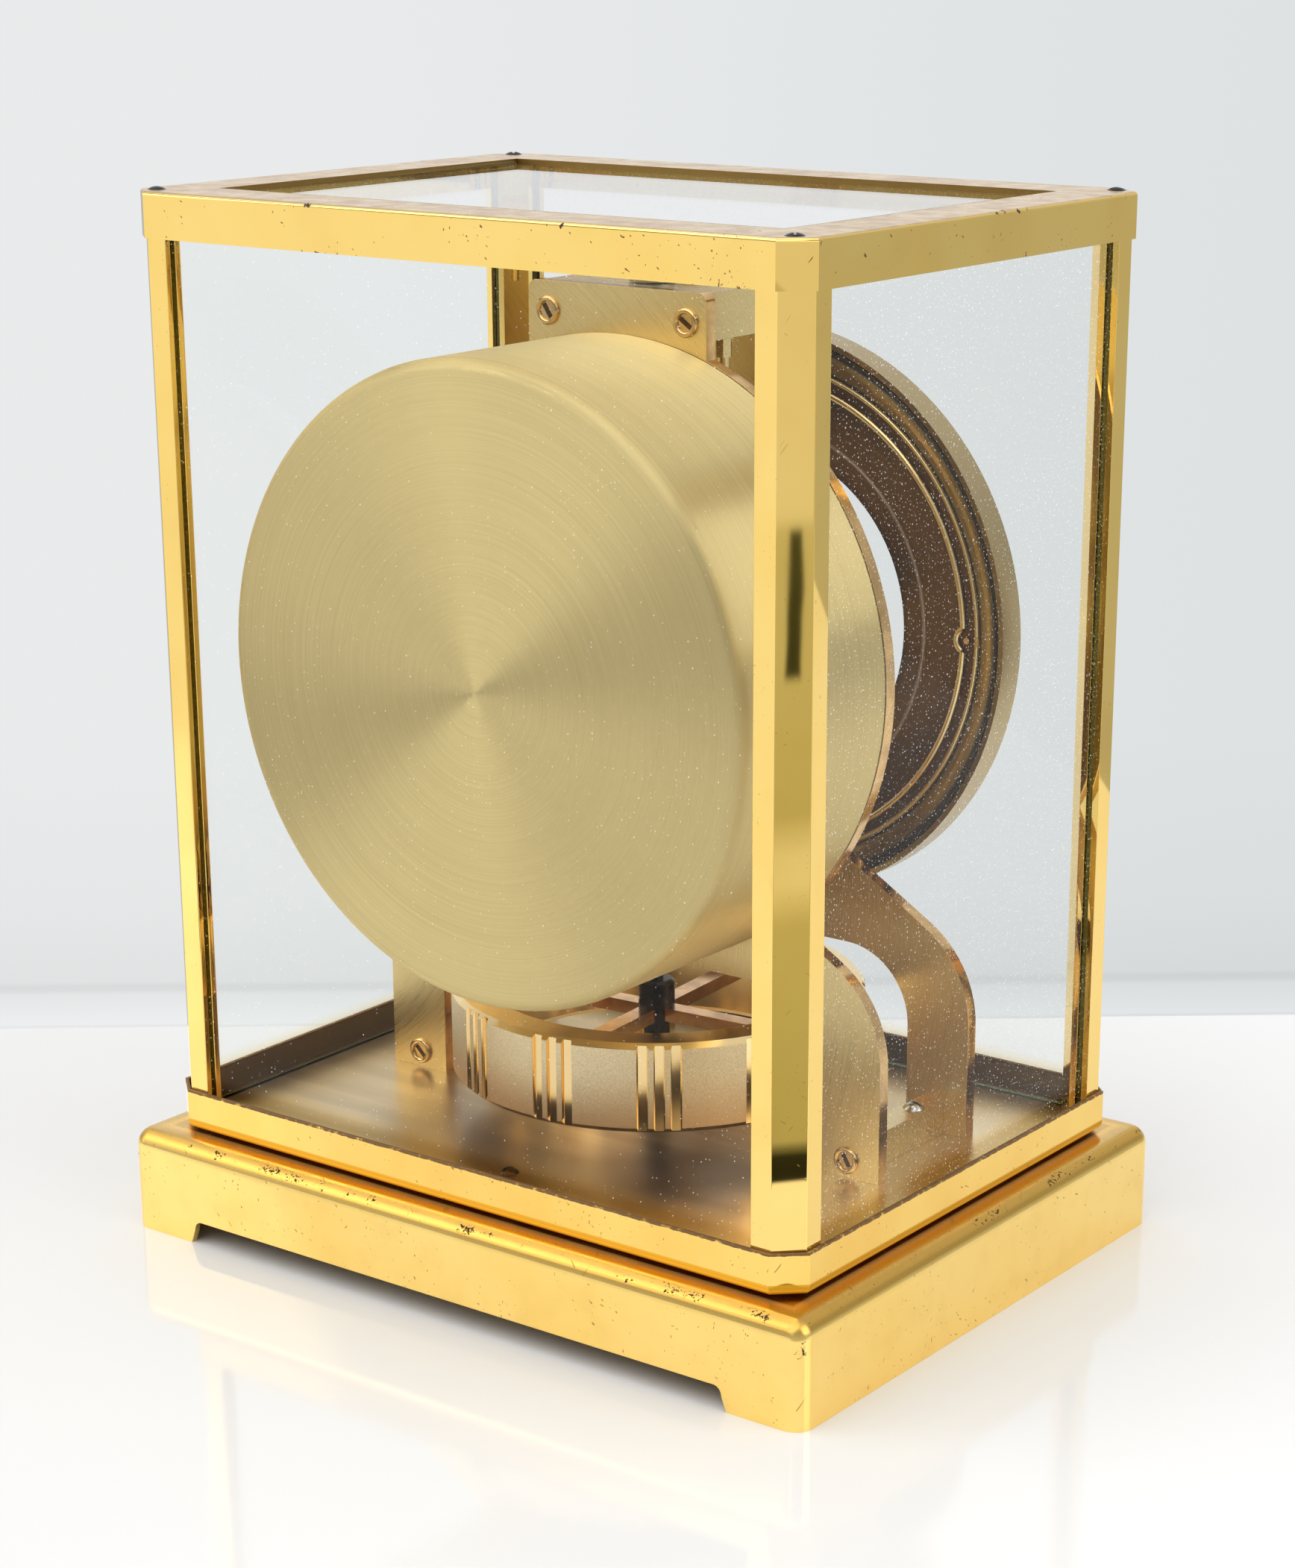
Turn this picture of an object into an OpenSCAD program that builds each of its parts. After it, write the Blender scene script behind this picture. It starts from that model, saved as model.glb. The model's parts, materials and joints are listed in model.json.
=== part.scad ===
// Skeleton mantel clock in a glazed case: plinth, posts, drum, open dial, train and torsion pendulum.
// Millimetres, +Z up, the dial faces -Y and the drum faces +Y, origin under the middle of the plinth.

/* [Case] */
// overall height of the case
case_h = 225; // [220:1:245]
// width of the plinth
plinth_w = 181; // [178:1:200]
// depth of the plinth
plinth_d = 136.5; // [134:0.5:150]
// height of the plinth
plinth_h = 23; // [20:0.5:24]
// height of the rim tray on the plinth
rim_h = 9.05; // [8.5:0.05:10]
// height of the cap's skirt
cap_skirt = 9.3; // [8:0.1:10]

/* [Movement] */
// height of the dial and drum axis
axis_z = 131; // [128:0.5:136]
// outer radius of the drum
drum_r = 66; // [62:0.5:66]
// rear face of the drum
drum_back = 53.2; // [48:0.1:54]
// outer radius of the dial hoop
dial_r = 63.1; // [60:0.1:65]
// radius of the opening in the dial
dial_hole_r = 36.5; // [30:0.5:37]

/* [Pendulum] */
// outer radius of the pendulum ring
ring_r = 45; // [43:0.5:46]
// inner radius of the pendulum ring
ring_bore_r = 36.2; // [30:0.1:38]
// groups of flutes around the ring
flute_groups = 12; // [6:1:16]

/* [Hidden] */

// smoothness, and the allowances for cuts, joined pieces, press fits and running fits
$fn = 96;
past = 1;
bite = 0.2;
press = 0.02;
run = 0.05;

// colours
gilt = [0.83, 0.66, 0.33];
satin = [0.76, 0.66, 0.44];
copper = [0.72, 0.50, 0.32];
dark = [0.16, 0.14, 0.12];
steel = [0.62, 0.63, 0.65];
clear = [0.85, 0.92, 0.90, 0.35];
ruby = [0.55, 0.08, 0.14];

// plinth
plinth_corner_r = 2.5;
plinth_inner_r = 1.2;
plinth_edge_r = 3;
plinth_wall = 1.6;
plinth_top_t = 2.5;
plinth_under = plinth_h - plinth_top_t;
foot_cut_h = 5.2;
foot_len = 19;
foot_cut_x = plinth_w / 2 - foot_len;
foot_cut_r = 2;
foot_flare = 1.6;
pad_h = 0.55;
pad_inset = 13;
boss_r = 7;
boss_z = 7;

// outer width and depth over the corner posts
post_inset = 7.45;
post_w = plinth_w - 2 * post_inset;
post_d = plinth_d - 2 * post_inset;

// rim tray and floor
rim_w = post_w + 2.15;
rim_d = post_d + 2.1;
rim_cut = [5.97, 5.35];
rim_t = 1;
rim_inner_cut = rim_cut - [0.9, 0.85] * rim_t;
rim_bottom = plinth_h + pad_h;
rim_top = rim_bottom + rim_h;
rim_edge_r = 2;
floor_bottom = rim_bottom + 1.05;
floor_z = plinth_h + 3.5;
floor_gap = 0.1;
base_screw_at = [50, 40];
base_screw_top = floor_z - 0.6;
base_head_t = 2;

// corner posts
post_cut = [5.1, 4.75];
post_face = 4.9;
post_lip = 1.5;
groove_w = 2.3;
groove_x = 6;
post_flange = 9.4;
post_bore = [4.3, 4.13];
post_bore_r = 1;
post_bore_depth = 9;

// cap
cap_over = 0.7;
cap_w = post_w + 2 * cap_over;
cap_d = post_d + 2 * cap_over;
cap_cut = [5.76, 5.07];
cap_t = 0.6;
cap_inner_cut = cap_cut - [1, 0.9] * cap_t;
cap_sheet = 1.2;
cap_edge_r = 0.8;
cap_border = [13.75, 14.2];
cap_hole = [cap_w, cap_d] - 2 * cap_border;
cap_bottom = case_h - cap_skirt;
cap_under = case_h - cap_sheet;
cap_screw_r = 1.95;
cap_screw_h = 0.6;
cap_screw_len = 8;
cap_slot_turn = 50;
slot_w = 0.6;
slot_share = 0.5;

// panes and the knob of the front one
glass_t = 2;
pane_in = 1.65;
pane_edge = 6.2;
pane_top = case_h - 2;
top_glass_size = cap_hole + [5, 5.4];
front_glass_t = 1.7;
front_pane_gap = 0.3;
front_pane_top = case_h - 7.5;
knob_z = 40;
knob_r = 4;
knob_front = -plinth_d / 2 + 2.25;
knob_chamfer = 0.8;
knob_grip = 2.6;
knob_taper = 1.4;
knob_neck_r = 1.8;
knob_base_r = 2.6;
knob_base_t = 0.8;
knob_fillet = 0.4;
knob_pin_r = 1;

// movement plates
rear_y = [3.5, 6.5];
front_y = [-30.5, -27.5];
plate_r = drum_r + 0.2;
front_disc_r = 42;
plate_top = axis_z + 75.5;
rear_tab_x = 22.75;
front_tab_x = 16;
tab_corner_r = 2;
leg_x = 66.2;
leg_in_x = 50.8;
shoulder_r = 24.4;
shoulder_z = 51.5;
roof_angle = 31;
window_top = 65.3;
window_r = 16;
boss_ring_r = 16;
spoke_ring_r = 33;
spoke_half = 5;

// plate screws, foot bars and top block
screw_r = 1.5;
screw_head_r = 3;
screw_bead_r = 0.62;
screw_seat_h = 0.25;
screw_len = 8;
rear_screw_y = [rear_y[0] - screw_len, rear_y[0] + past];
front_screw_y = [front_y[1] - past, front_y[1] + screw_len];
leg_screw = [58.2, 30.4];
tab_screw_z = axis_z + 69.4;
rear_tab_screw_x = 17.7;
front_tab_screw_x = 10;
bar_x = [54.6, 60.6];
bar_top = 34;
bar_screw_x = 57.6;
bar_screw_y = [-20, -4];
bar_screw_r = 2.4;
bar_screw_h = 1.3;
block_x = 21.5;
block_z = [axis_z + 65.6, axis_z + 75.2];
stud_x = 18;
stud_collar_r = 2;
stud_collar_t = 0.5;
stud_hex_r = 1.7;
stud_hex_h = 3.7;
stud_pin_r = 1.15;
stud_pin_h = 3.4;

// drum
drum_edge_r = 2.5;
drum_wall = 1.2;

// dial
dial_back = -45.7;
dial_front = -46.6;
dial_step = -45.2;
hoop_y = [-49.5, -42.4];
hoop_t = 1.2;
cove_r = 5;
cove_h = 2.75;
step_r = dial_r - 11.7;
step_bead_r = 0.7;
ridge_r = dial_r - 8.5;
ridge_bead_r = 0.45;
scribe_r = 41.6;
scribe_cut_r = 0.25;
notch_r = 2.7;
notch_at = step_r + 1;
dial_pin_r = 0.7;
marker_t = 0.5;
marker_from = dial_r - 20.1;
marker_len = 15;
marker_w = 1.6;
quarter_w = 3;
pillar_turns = [90, 225, 315];
pillar_at = 39;
pillar_r = 1.8;

// pendulum
pend_y = -6;
ring_z = [36.3, 56];
ring_chamfer = 1.2;
flute_phase = 7.87;
flute_pitch = 4.56;
flute_w = 2.4;
flute_floor_w = 1.8;
flute_depth = 0.75;
spoke_phase = 4.4;
spoke_z = [47, 50];
spoke_w = 4;
hub_r = 2.9;
hub_z = [35, 46.5];
collar_r = 4;
collar_top = 56;
collar_chamfer = 0.6;
rod_r = 1.5;
rod_step_z = 68;
staff_r = 1;
staff_top = 78;
wire_r = 0.25;
head_bottom = block_z[0] - 5.6;
wire_top = head_bottom - 0.1;
head_r = 4.5;
head_tip_r = 2.6;
head_taper = 2;
bearing_r = 5;
bearing_top = 33;
bearing_depth = 3;
tip_r = 1;
tip_depth = 2;
roller_z = [73.5, 75];
roller_r = 2.6;
impulse_at = 2;
impulse_r = 0.3;
impulse_foot = 0.5;
impulse_over = 0.4;

// going train
tooth_m = 0.5;
barrel_teeth = 72;
centre_pinion_teeth = 12;
cannon_teeth = 10;
minute_teeth = 30;
minute_pinion_teeth = 8;
hour_teeth = 32;
escape_pinion_teeth = 15;
barrel_z = axis_z + 21;
barrel_y = [-22.8, -13.6];
barrel_r = 16.2;
barrel_teeth_t = 1.5;
barrel_wall = 0.8;
barrel_arbor_r = 1.5;
barrel_core_r = 3.2;
barrel_core_y = [barrel_y[0] + 2.2, barrel_y[1] - 1.2];
spring_y = [barrel_y[0] + 2.4, barrel_y[1] - 1.4];
spring_coils = 10;
spring_pitch = 1.05;
spring_start_r = 4.2;
spring_t = 0.45;
centre_r = 1.2;
centre_pinion_y = [-23.3, -20.9];
cannon_r = 1.5;
pivot_over = 0.6;
bush_r = 3;
bridge_y = [-12.6, -10.6];
bridge_w = 9;
bridge_spine_w = 10;
bridge_pillar_x = 22;
bridge_pillar_r = 2.5;
bridge_top_z = barrel_z + 24;
cock_z = [axis_z - 11.7, axis_z - 9.7];
cock_half = 4;
cock_reach = 3;
crown_r = 16;
crown_outer_r = crown_r + 1;
crown_rim = 2.2;
crown_web_t = 1.4;
crown_hub_r = 4;
crown_arm_w = 3;
crown_teeth = 60;
crown_y = [-26.9, -23.5];
crown_slot_w = 0.98;
crown_slot_y = -25.2;
escape_y = -20;
escape_r = 5.5;
escape_root_r = 4.2;
escape_eye_r = [1.9, 3.5];
escape_arm_half = 0.4;
escape_teeth = 15;
escape_z = [75.6, 77.2];
escape_shaft_r = 0.9;
escape_pinion_z = [axis_z - 17.5, axis_z - 14.2];
escape_pinion_m = 8 / escape_pinion_teeth;
cage_low = [69.5, 71.5];
cage_high = [80.5, 82.5];
cage_half = 9;
cage_y = [-27.5, -9];
cage_pillar_at = [7.5, -10.8];
cage_pillar_r = 1.2;
cage_free = 0.4;
pivot_in = 0.5;
pivot_short = 0.3;
pallet_y = -12.2;
pallet_r = 0.6;
pallet_angle = 48;
stone_size = [0.7, 1.4];
stone_gap = 0.45;
fork_hub_r = 1.4;
fork_bar_w = 0.8;
fork_stem = 1.4;
fork_horn_at = [1.45, 2.4];
fork_horn_len = 1.4;
motion_dir = 225;
motion_gap = tooth_m * (cannon_teeth + minute_teeth) / 2;
motion_at = [0, axis_z] + motion_gap * [cos(motion_dir), sin(motion_dir)];
stud_r = 0.9;
minute_wheel_y = [-33.4, -31.4];
minute_pinion_y = [-37, -34.9];
hour_wheel_y = [-36.9, -35.3];
hour_tube_r = 2.3;
hour_hand_y = [-51.2, -50.4];
hour_hand_len = 34;
hour_hand_half = 2.6;
minute_hand_y = [-53, -52.2];
minute_hand_len = 50;
minute_hand_half = 2;
hand_tip_half = 0.25;
hand_eye_wall = 2;
minute_now = 25;
hour_now = 1;

// bellows
bellows_y = [12, drum_back - 7.2];
bellows_out_r = drum_r - 8;
bellows_in_r = drum_r - 16;
bellows_pleats = 7;
bellows_wall = 0.8;
bellows_skin = 1.28;
stem_r = 2;
stem_end = 0.8;

// floor fittings and adjusters
floor_screw_y = 45.5;
floor_screw_r = 2.1;
floor_screw_h = 1.1;
floor_slot_turn = 70;
level_at = [34, -48];
level_r = 6;
level_wall = 0.8;
level_base_t = 1;
level_top = 30;
level_fill_top = 29.7;
lock_at = [-20, -50.5];
lock_len = 22;
lock_z = [28, 30];
lock_w = 4;
lock_eye_r = 3.4;
lock_pin_r = 2;
lock_pin_h = 4;
lock_head_r = 2.6;
lock_head_h = 1.2;
lock_play = 0.4;
level_foot_at = [60, -46];
level_foot_r = 9;
level_foot_z = [0.3, 4.6];
level_stud_r = 3;
level_stud_top = 17;
knurls = 30;
knurl_r = 0.6;
knurl_out = 0.1;
rate_hub_r = 5;
rate_z = [block_z[1] + 0.3, block_z[1] + 2.1];
rate_len = 22;
rate_w = 2.4;
rate_pin_len = 4;
rate_bore = 5;

// a flat plate in the X-Z plane between two depths
module xz_plate(y) {
    translate([0, y[1], 0])
        rotate([90, 0, 0])
            linear_extrude(y[1] - y[0])
                children();
}

// a turned piece around an axis along Y at height z, its profile drawn as (radius, depth)
module y_lathe(z = axis_z, x = 0) {
    translate([x, 0, z])
        rotate([-90, 0, 0])
            rotate_extrude()
                children();
}

// a plain round bar along Y between two depths
module y_bar(r, y, x = 0, z = axis_z) {
    translate([x, y[0], z])
        rotate([-90, 0, 0])
            cylinder(r = r, h = y[1] - y[0]);
}

// a plain round bar along Z between two heights
module z_bar(r, z, x = 0, y = 0) {
    translate([x, y, z[0]])
        cylinder(r = r, h = z[1] - z[0]);
}

module both_sides() {
    children();
    mirror([1, 0, 0])
        children();
}

module four_corners() {
    for (sx = [0, 1], sy = [0, 1])
        mirror([sx, 0, 0])
            mirror([0, sy, 0])
                children();
}

module rounded_2d(w, d, r) {
    square([w - 2 * r, d], center = true);
    square([w, d - 2 * r], center = true);
    for (x = [-1, 1], y = [-1, 1])
        translate([x * (w / 2 - r), y * (d / 2 - r)])
            circle(r);
}

// rectangle with its four corners cut off
module case_2d(w, d, cut) {
    x = w / 2;
    y = d / 2;
    polygon([
        [x - cut[0], -y], [x, -y + cut[1]], [x, y - cut[1]], [x - cut[0], y],
        [-x + cut[0], y], [-x, y - cut[1]], [-x, -y + cut[1]], [-x + cut[0], -y]
    ]);
}

// side view of a block whose top edges are rounded
module arch_2d(w, z0, z1, r) {
    translate([-w / 2, z0])
        square([w, z1 - r - z0]);
    translate([-w / 2 + r, z0])
        square([w - 2 * r, z1 - z0]);
    for (s = [-1, 1])
        translate([s * (w / 2 - r), z1 - r])
            circle(r);
}

module arch_prism(w, length, z0, z1, r) {
    rotate([90, 0, 0])
        linear_extrude(length, center = true)
            arch_2d(w, z0, z1, r);
}

// cut-corner block with its top edges rounded along every side
module cased_block(w, d, cut, z0, z1, r) {
    lean = atan2(cut[0], cut[1]);
    across = 2 * ((w / 2 - cut[0]) * cos(lean) + d / 2 * sin(lean));
    long = 2 * (w + d);
    intersection() {
        translate([0, 0, z0])
            linear_extrude(z1 - z0)
                case_2d(w, d, cut);
        arch_prism(w, long, z0, z1, r);
        rotate([0, 0, 90])
            arch_prism(d, long, z0, z1, r);
        rotate([0, 0, lean])
            arch_prism(across, long, z0, z1, r);
        rotate([0, 0, -lean])
            arch_prism(across, long, z0, z1, r);
    }
}

module ring_2d(outer, inner) {
    difference() {
        circle(outer);
        circle(inner);
    }
}

// spur gear outline with straight-flanked teeth, a tooth pointing along +X
module gear_2d(teeth, m = tooth_m) {
    pitch_r = m * teeth / 2;
    step = 360 / teeth;
    root_r = pitch_r - 1.15 * m;
    tip_r = pitch_r + 0.8 * m;
    polygon([
        for (i = [0 : teeth - 1], p = [[root_r, -0.29], [tip_r, -0.1], [tip_r, 0.1], [root_r, 0.29]])
            p[0] * [cos((i + p[1]) * step), sin((i + p[1]) * step)]
    ]);
}

// rounded bar outline from one point to another
module link_2d(from, to, w) {
    along = to - from;
    translate(from)
        rotate(atan2(along[1], along[0]))
            translate([0, -w / 2])
                square([norm(along), w]);
    translate(from)
        circle(d = w);
    translate(to)
        circle(d = w);
}

// low domed screw head with a straight slot
module slotted_head(r, h) {
    ball_r = (r * r + h * h) / (2 * h);
    difference() {
        intersection() {
            translate([0, 0, h - ball_r])
                sphere(ball_r);
            cylinder(r = r, h = h + past);
        }
        translate([-r - past, -slot_w / 2, h * (1 - slot_share)])
            cube([2 * (r + past), slot_w, h]);
    }
}

// Case

module plinth_outer() {
    intersection() {
        linear_extrude(plinth_h)
            rounded_2d(plinth_w, plinth_d, plinth_corner_r);
        arch_prism(plinth_w, 2 * plinth_d, 0, plinth_h, plinth_edge_r);
        rotate([0, 0, 90])
            arch_prism(plinth_d, 2 * plinth_w, 0, plinth_h, plinth_edge_r);
    }
}

module foot_cut_2d() {
    corner = foot_cut_x - foot_cut_r;
    shoulder = foot_cut_h - foot_cut_r;
    polygon([
        [-foot_cut_x - foot_flare, -past], [foot_cut_x + foot_flare, -past],
        [foot_cut_x, shoulder], [-foot_cut_x, shoulder]
    ]);
    translate([-corner, 0])
        square([2 * corner, foot_cut_h]);
    for (s = [-1, 1])
        translate([s * corner, shoulder])
            circle(foot_cut_r);
}

module base_screw_places() {
    four_corners()
        translate([base_screw_at[0], base_screw_at[1], 0])
            children();
}

module plinth() {
    inner = [plinth_w, plinth_d] - 2 * plinth_wall * [1, 1];
    color(gilt)
        difference() {
            union() {
                difference() {
                    plinth_outer();
                    translate([0, 0, -past])
                        linear_extrude(plinth_under + past)
                            rounded_2d(inner[0], inner[1], plinth_inner_r);
                    rotate([90, 0, 0])
                        linear_extrude(2 * plinth_d, center = true)
                            foot_cut_2d();
                }
                translate([0, 0, plinth_h - past])
                    linear_extrude(pad_h + past)
                        square([plinth_w - 2 * pad_inset, plinth_d - 2 * pad_inset], center = true);
                both_sides()
                    z_bar(boss_r, [boss_z, plinth_h - past], level_foot_at[0], level_foot_at[1]);
            }
            both_sides()
                z_bar(level_stud_r + run, [0, level_stud_top + past], level_foot_at[0], level_foot_at[1]);
            base_screw_places()
                z_bar(screw_r + press, [0, case_h]);
        }
}

module rim() {
    color(gilt)
        difference() {
            translate([0, 0, rim_bottom + rim_top])
                mirror([0, 0, 1])
                    cased_block(rim_w, rim_d, rim_cut, rim_bottom, rim_top, rim_edge_r);
            translate([0, 0, floor_bottom])
                linear_extrude(rim_top)
                    case_2d(rim_w - 2 * rim_t, rim_d - 2 * rim_t, rim_inner_cut);
            base_screw_places()
                z_bar(screw_r + press, [0, case_h]);
        }
}

module floor_plate() {
    color(satin)
        difference() {
            translate([0, 0, floor_bottom])
                linear_extrude(floor_z - floor_bottom)
                    case_2d(post_w - floor_gap, post_d - floor_gap, post_cut);
            base_screw_places()
                z_bar(screw_r + press, [0, base_screw_top + floor_gap]);
        }
}

module post_2d() {
    far = post_cut + [post_face, post_face];
    in = post_lip + groove_w;
    flange_in = in + post_lip;
    polygon([
        [post_cut[0], 0], [far[0], 0], [far[0], post_lip], [groove_x, post_lip], [groove_x, in],
        [post_flange, in], [post_flange, flange_in], [flange_in, post_flange], [in, post_flange],
        [in, groove_x], [post_lip, groove_x], [post_lip, far[1]], [0, far[1]], [0, post_cut[1]]
    ]);
}

// post standing at one corner, mx and my mirror it from the rear left one
module post(mx, my) {
    color(gilt)
        mirror([mx, 0, 0])
            mirror([0, my, 0])
                translate([post_w / 2, post_d / 2, floor_z])
                    rotate([0, 0, 180])
                        difference() {
                            linear_extrude(cap_under - floor_z)
                                post_2d();
                            translate([post_bore[0], post_bore[1], cap_under - floor_z - post_bore_depth])
                                cylinder(r = post_bore_r + press, h = post_bore_depth + past);
                        }
}

module post_rear_left() {
    post(0, 0);
}

module post_rear_right() {
    post(1, 0);
}

module post_front_left() {
    post(0, 1);
}

module post_front_right() {
    post(1, 1);
}

module cap_screw_places() {
    four_corners()
        translate([post_w / 2 - post_bore[0], post_d / 2 - post_bore[1], 0])
            children();
}

module cap() {
    color(gilt)
        difference() {
            cased_block(cap_w, cap_d, cap_cut, cap_bottom, case_h, cap_edge_r);
            translate([0, 0, cap_bottom - past])
                linear_extrude(cap_under - cap_bottom + past)
                    case_2d(cap_w - 2 * cap_t, cap_d - 2 * cap_t, cap_inner_cut);
            translate([-cap_hole[0] / 2, -cap_hole[1] / 2, cap_bottom])
                cube([cap_hole[0], cap_hole[1], case_h]);
            cap_screw_places()
                z_bar(post_bore_r + press, [cap_bottom, case_h + past]);
        }
}

module cap_screws() {
    color(dark)
        cap_screw_places() {
            z_bar(post_bore_r, [case_h - cap_screw_len, case_h]);
            translate([0, 0, case_h])
                rotate([0, 0, cap_slot_turn])
                    slotted_head(cap_screw_r, cap_screw_h);
        }
}

module top_glass() {
    color(clear)
        translate([-top_glass_size[0] / 2, -top_glass_size[1] / 2, cap_under - glass_t])
            cube([top_glass_size[0], top_glass_size[1], glass_t]);
}

module rear_glass() {
    half = post_w / 2 - pane_edge;
    color(clear)
        translate([-half, post_d / 2 - pane_in - glass_t, floor_z])
            cube([2 * half, glass_t, pane_top - floor_z]);
}

module side_glass() {
    half = post_d / 2 - pane_edge;
    color(clear)
        translate([post_w / 2 - pane_in - glass_t, -half, floor_z])
            cube([glass_t, 2 * half, pane_top - floor_z]);
}

module left_glass() {
    side_glass();
}

module right_glass() {
    mirror([1, 0, 0])
        side_glass();
}

module front_glass() {
    half = post_w / 2 - groove_x - front_pane_gap;
    middle = -post_d / 2 + post_lip + groove_w / 2;
    color(clear)
        difference() {
            translate([-half, middle - front_glass_t / 2, floor_z + front_pane_gap])
                cube([2 * half, front_glass_t, front_pane_top - floor_z - front_pane_gap]);
            y_bar(knob_pin_r + press, [-post_d, 0], 0, knob_z);
        }
}

module pane_knob() {
    face = -post_d / 2 + post_lip + groove_w / 2 - front_glass_t / 2;
    color(gilt) {
        y_bar(knob_pin_r, [face - past, face + front_glass_t], 0, knob_z);
        y_lathe(knob_z)
            polygon([
                [0, knob_front], [knob_r - knob_chamfer, knob_front], [knob_r, knob_front + knob_chamfer],
                [knob_r, knob_front + knob_grip], [knob_neck_r, knob_front + knob_grip + knob_taper],
                [knob_neck_r, face - knob_base_t - knob_fillet], [knob_base_r, face - knob_base_t],
                [knob_base_r, face], [0, face]
            ]);
    }
}

module base_screws() {
    color(steel)
        base_screw_places() {
            z_bar(screw_r, [plinth_under - past, base_screw_top]);
            z_bar(screw_head_r, [plinth_under - base_head_t, plinth_under]);
        }
}

// Movement frame

module window_2d() {
    side = leg_in_x - window_r;
    translate([-leg_in_x, 0])
        square([2 * leg_in_x, window_top - window_r]);
    translate([-side, 0])
        square([2 * side, window_top]);
    for (s = [-1, 1])
        translate([s * side, window_top - window_r])
            circle(window_r);
}

// legs, shoulders and roof shared by both plates
module frame_2d() {
    cx = leg_x - shoulder_r;
    touch = [cx + shoulder_r * sin(roof_angle), shoulder_z + shoulder_r * cos(roof_angle)];
    apex = touch[1] + touch[0] * tan(roof_angle);
    for (s = [0, 1])
        mirror([s, 0]) {
            translate([cx, floor_z])
                square([shoulder_r, shoulder_z - floor_z]);
            translate([cx, shoulder_z])
                circle(shoulder_r);
        }
    polygon([[-cx, shoulder_z], [cx, shoulder_z], touch, [0, apex], [-touch[0], touch[1]]]);
}

module tab_2d(half) {
    translate([-half, axis_z])
        square([2 * half, plate_top - axis_z - tab_corner_r]);
    translate([-half + tab_corner_r, axis_z])
        square([2 * (half - tab_corner_r), plate_top - axis_z]);
    for (s = [-1, 1])
        translate([s * (half - tab_corner_r), plate_top - tab_corner_r])
            circle(tab_corner_r);
}

// places of the plate screws, seen as (x, z)
module screw_places_2d(tab_x) {
    for (p = [[tab_x, tab_screw_z], leg_screw], s = [-1, 1])
        translate([s * p[0], p[1]])
            children();
}

module rear_plate() {
    color(copper)
        xz_plate(rear_y)
            difference() {
                union() {
                    frame_2d();
                    tab_2d(rear_tab_x);
                    translate([0, axis_z])
                        circle(plate_r);
                }
                window_2d();
                screw_places_2d(rear_tab_screw_x)
                    circle(screw_r + press);
                translate([0, axis_z])
                    circle(stem_r + run);
            }
}

module front_plate() {
    color(copper)
        xz_plate(front_y)
            difference() {
                union() {
                    frame_2d();
                    tab_2d(front_tab_x);
                    translate([0, axis_z])
                        circle(front_disc_r);
                }
                window_2d();
                translate([0, axis_z])
                    for (q = [0 : 3])
                        rotate(90 * q)
                            intersection() {
                                ring_2d(spoke_ring_r, boss_ring_r);
                                translate([spoke_half, spoke_half])
                                    square(spoke_ring_r);
                            }
                screw_places_2d(front_tab_screw_x)
                    circle(screw_r + press);
                translate([0, axis_z])
                    circle(bush_r + press);
                translate([0, barrel_z])
                    circle(barrel_arbor_r + press);
                translate(motion_at)
                    circle(stud_r + press);
            }
}

module foot_bars() {
    span = rear_y[0] - front_y[1];
    color(satin)
        both_sides()
            difference() {
                translate([bar_x[0], front_y[1], floor_z])
                    cube([bar_x[1] - bar_x[0], span, bar_top - floor_z]);
                for (y = [rear_screw_y, front_screw_y])
                    y_bar(screw_r + press, y, leg_screw[0], leg_screw[1]);
            }
}

module bar_screws() {
    color(steel)
        for (s = [-1, 1], y = bar_screw_y)
            translate([s * bar_screw_x, y, bar_top])
                slotted_head(bar_screw_r, bar_screw_h);
}

module top_block() {
    color(satin)
        difference() {
            translate([-block_x, front_y[1], block_z[0]])
                cube([2 * block_x, rear_y[0] - front_y[1], block_z[1] - block_z[0]]);
            for (s = [-1, 1]) {
                y_bar(screw_r + press, rear_screw_y, s * rear_tab_screw_x, tab_screw_z);
                y_bar(screw_r + press, front_screw_y, s * front_tab_screw_x, tab_screw_z);
            }
            z_bar(screw_r + run, [block_z[1] - rate_bore, block_z[1] + past], 0, pend_y);
        }
}

// hollow-headed screw pointing along -Y, its rolled rim seated at y = 0
module plate_screw() {
    bead_at = screw_head_r - screw_bead_r;
    rotate([-90, 0, 0])
        rotate_extrude() {
            translate([0, -screw_len])
                square([screw_r, screw_len]);
            intersection() {
                union() {
                    square([bead_at, screw_seat_h]);
                    translate([bead_at, screw_seat_h])
                        circle(screw_bead_r);
                }
                square(screw_head_r + past);
            }
        }
}

module plate_screws() {
    color(steel)
        for (s = [-1, 1]) {
            for (p = [[rear_tab_screw_x, tab_screw_z], leg_screw])
                translate([s * p[0], rear_y[1], p[1]])
                    plate_screw();
            for (p = [[front_tab_screw_x, tab_screw_z], leg_screw])
                translate([s * p[0], front_y[0], p[1]])
                    rotate([0, 0, 180])
                        plate_screw();
        }
}

module block_studs() {
    hex_bottom = -stud_collar_t - stud_hex_h;
    color(satin)
        for (s = [-1, 1])
            translate([s * stud_x, pend_y, block_z[0]]) {
                z_bar(stud_collar_r, [-stud_collar_t, 0]);
                translate([0, 0, hex_bottom])
                    cylinder(r = stud_hex_r, h = stud_hex_h, $fn = 6);
                z_bar(stud_pin_r, [hex_bottom - stud_pin_h, hex_bottom]);
            }
}

module drum() {
    y0 = rear_y[1];
    flat_r = drum_r - drum_edge_r;
    flat_y = drum_back - drum_edge_r;
    color(satin)
        y_lathe()
            difference() {
                union() {
                    translate([0, y0])
                        square([drum_r, flat_y - y0]);
                    translate([0, y0])
                        square([flat_r, drum_back - y0]);
                    translate([flat_r, flat_y])
                        circle(drum_edge_r);
                }
                translate([-past, y0 - past])
                    square([drum_r - drum_wall + past, drum_back - drum_wall - y0 + past]);
            }
}

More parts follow.
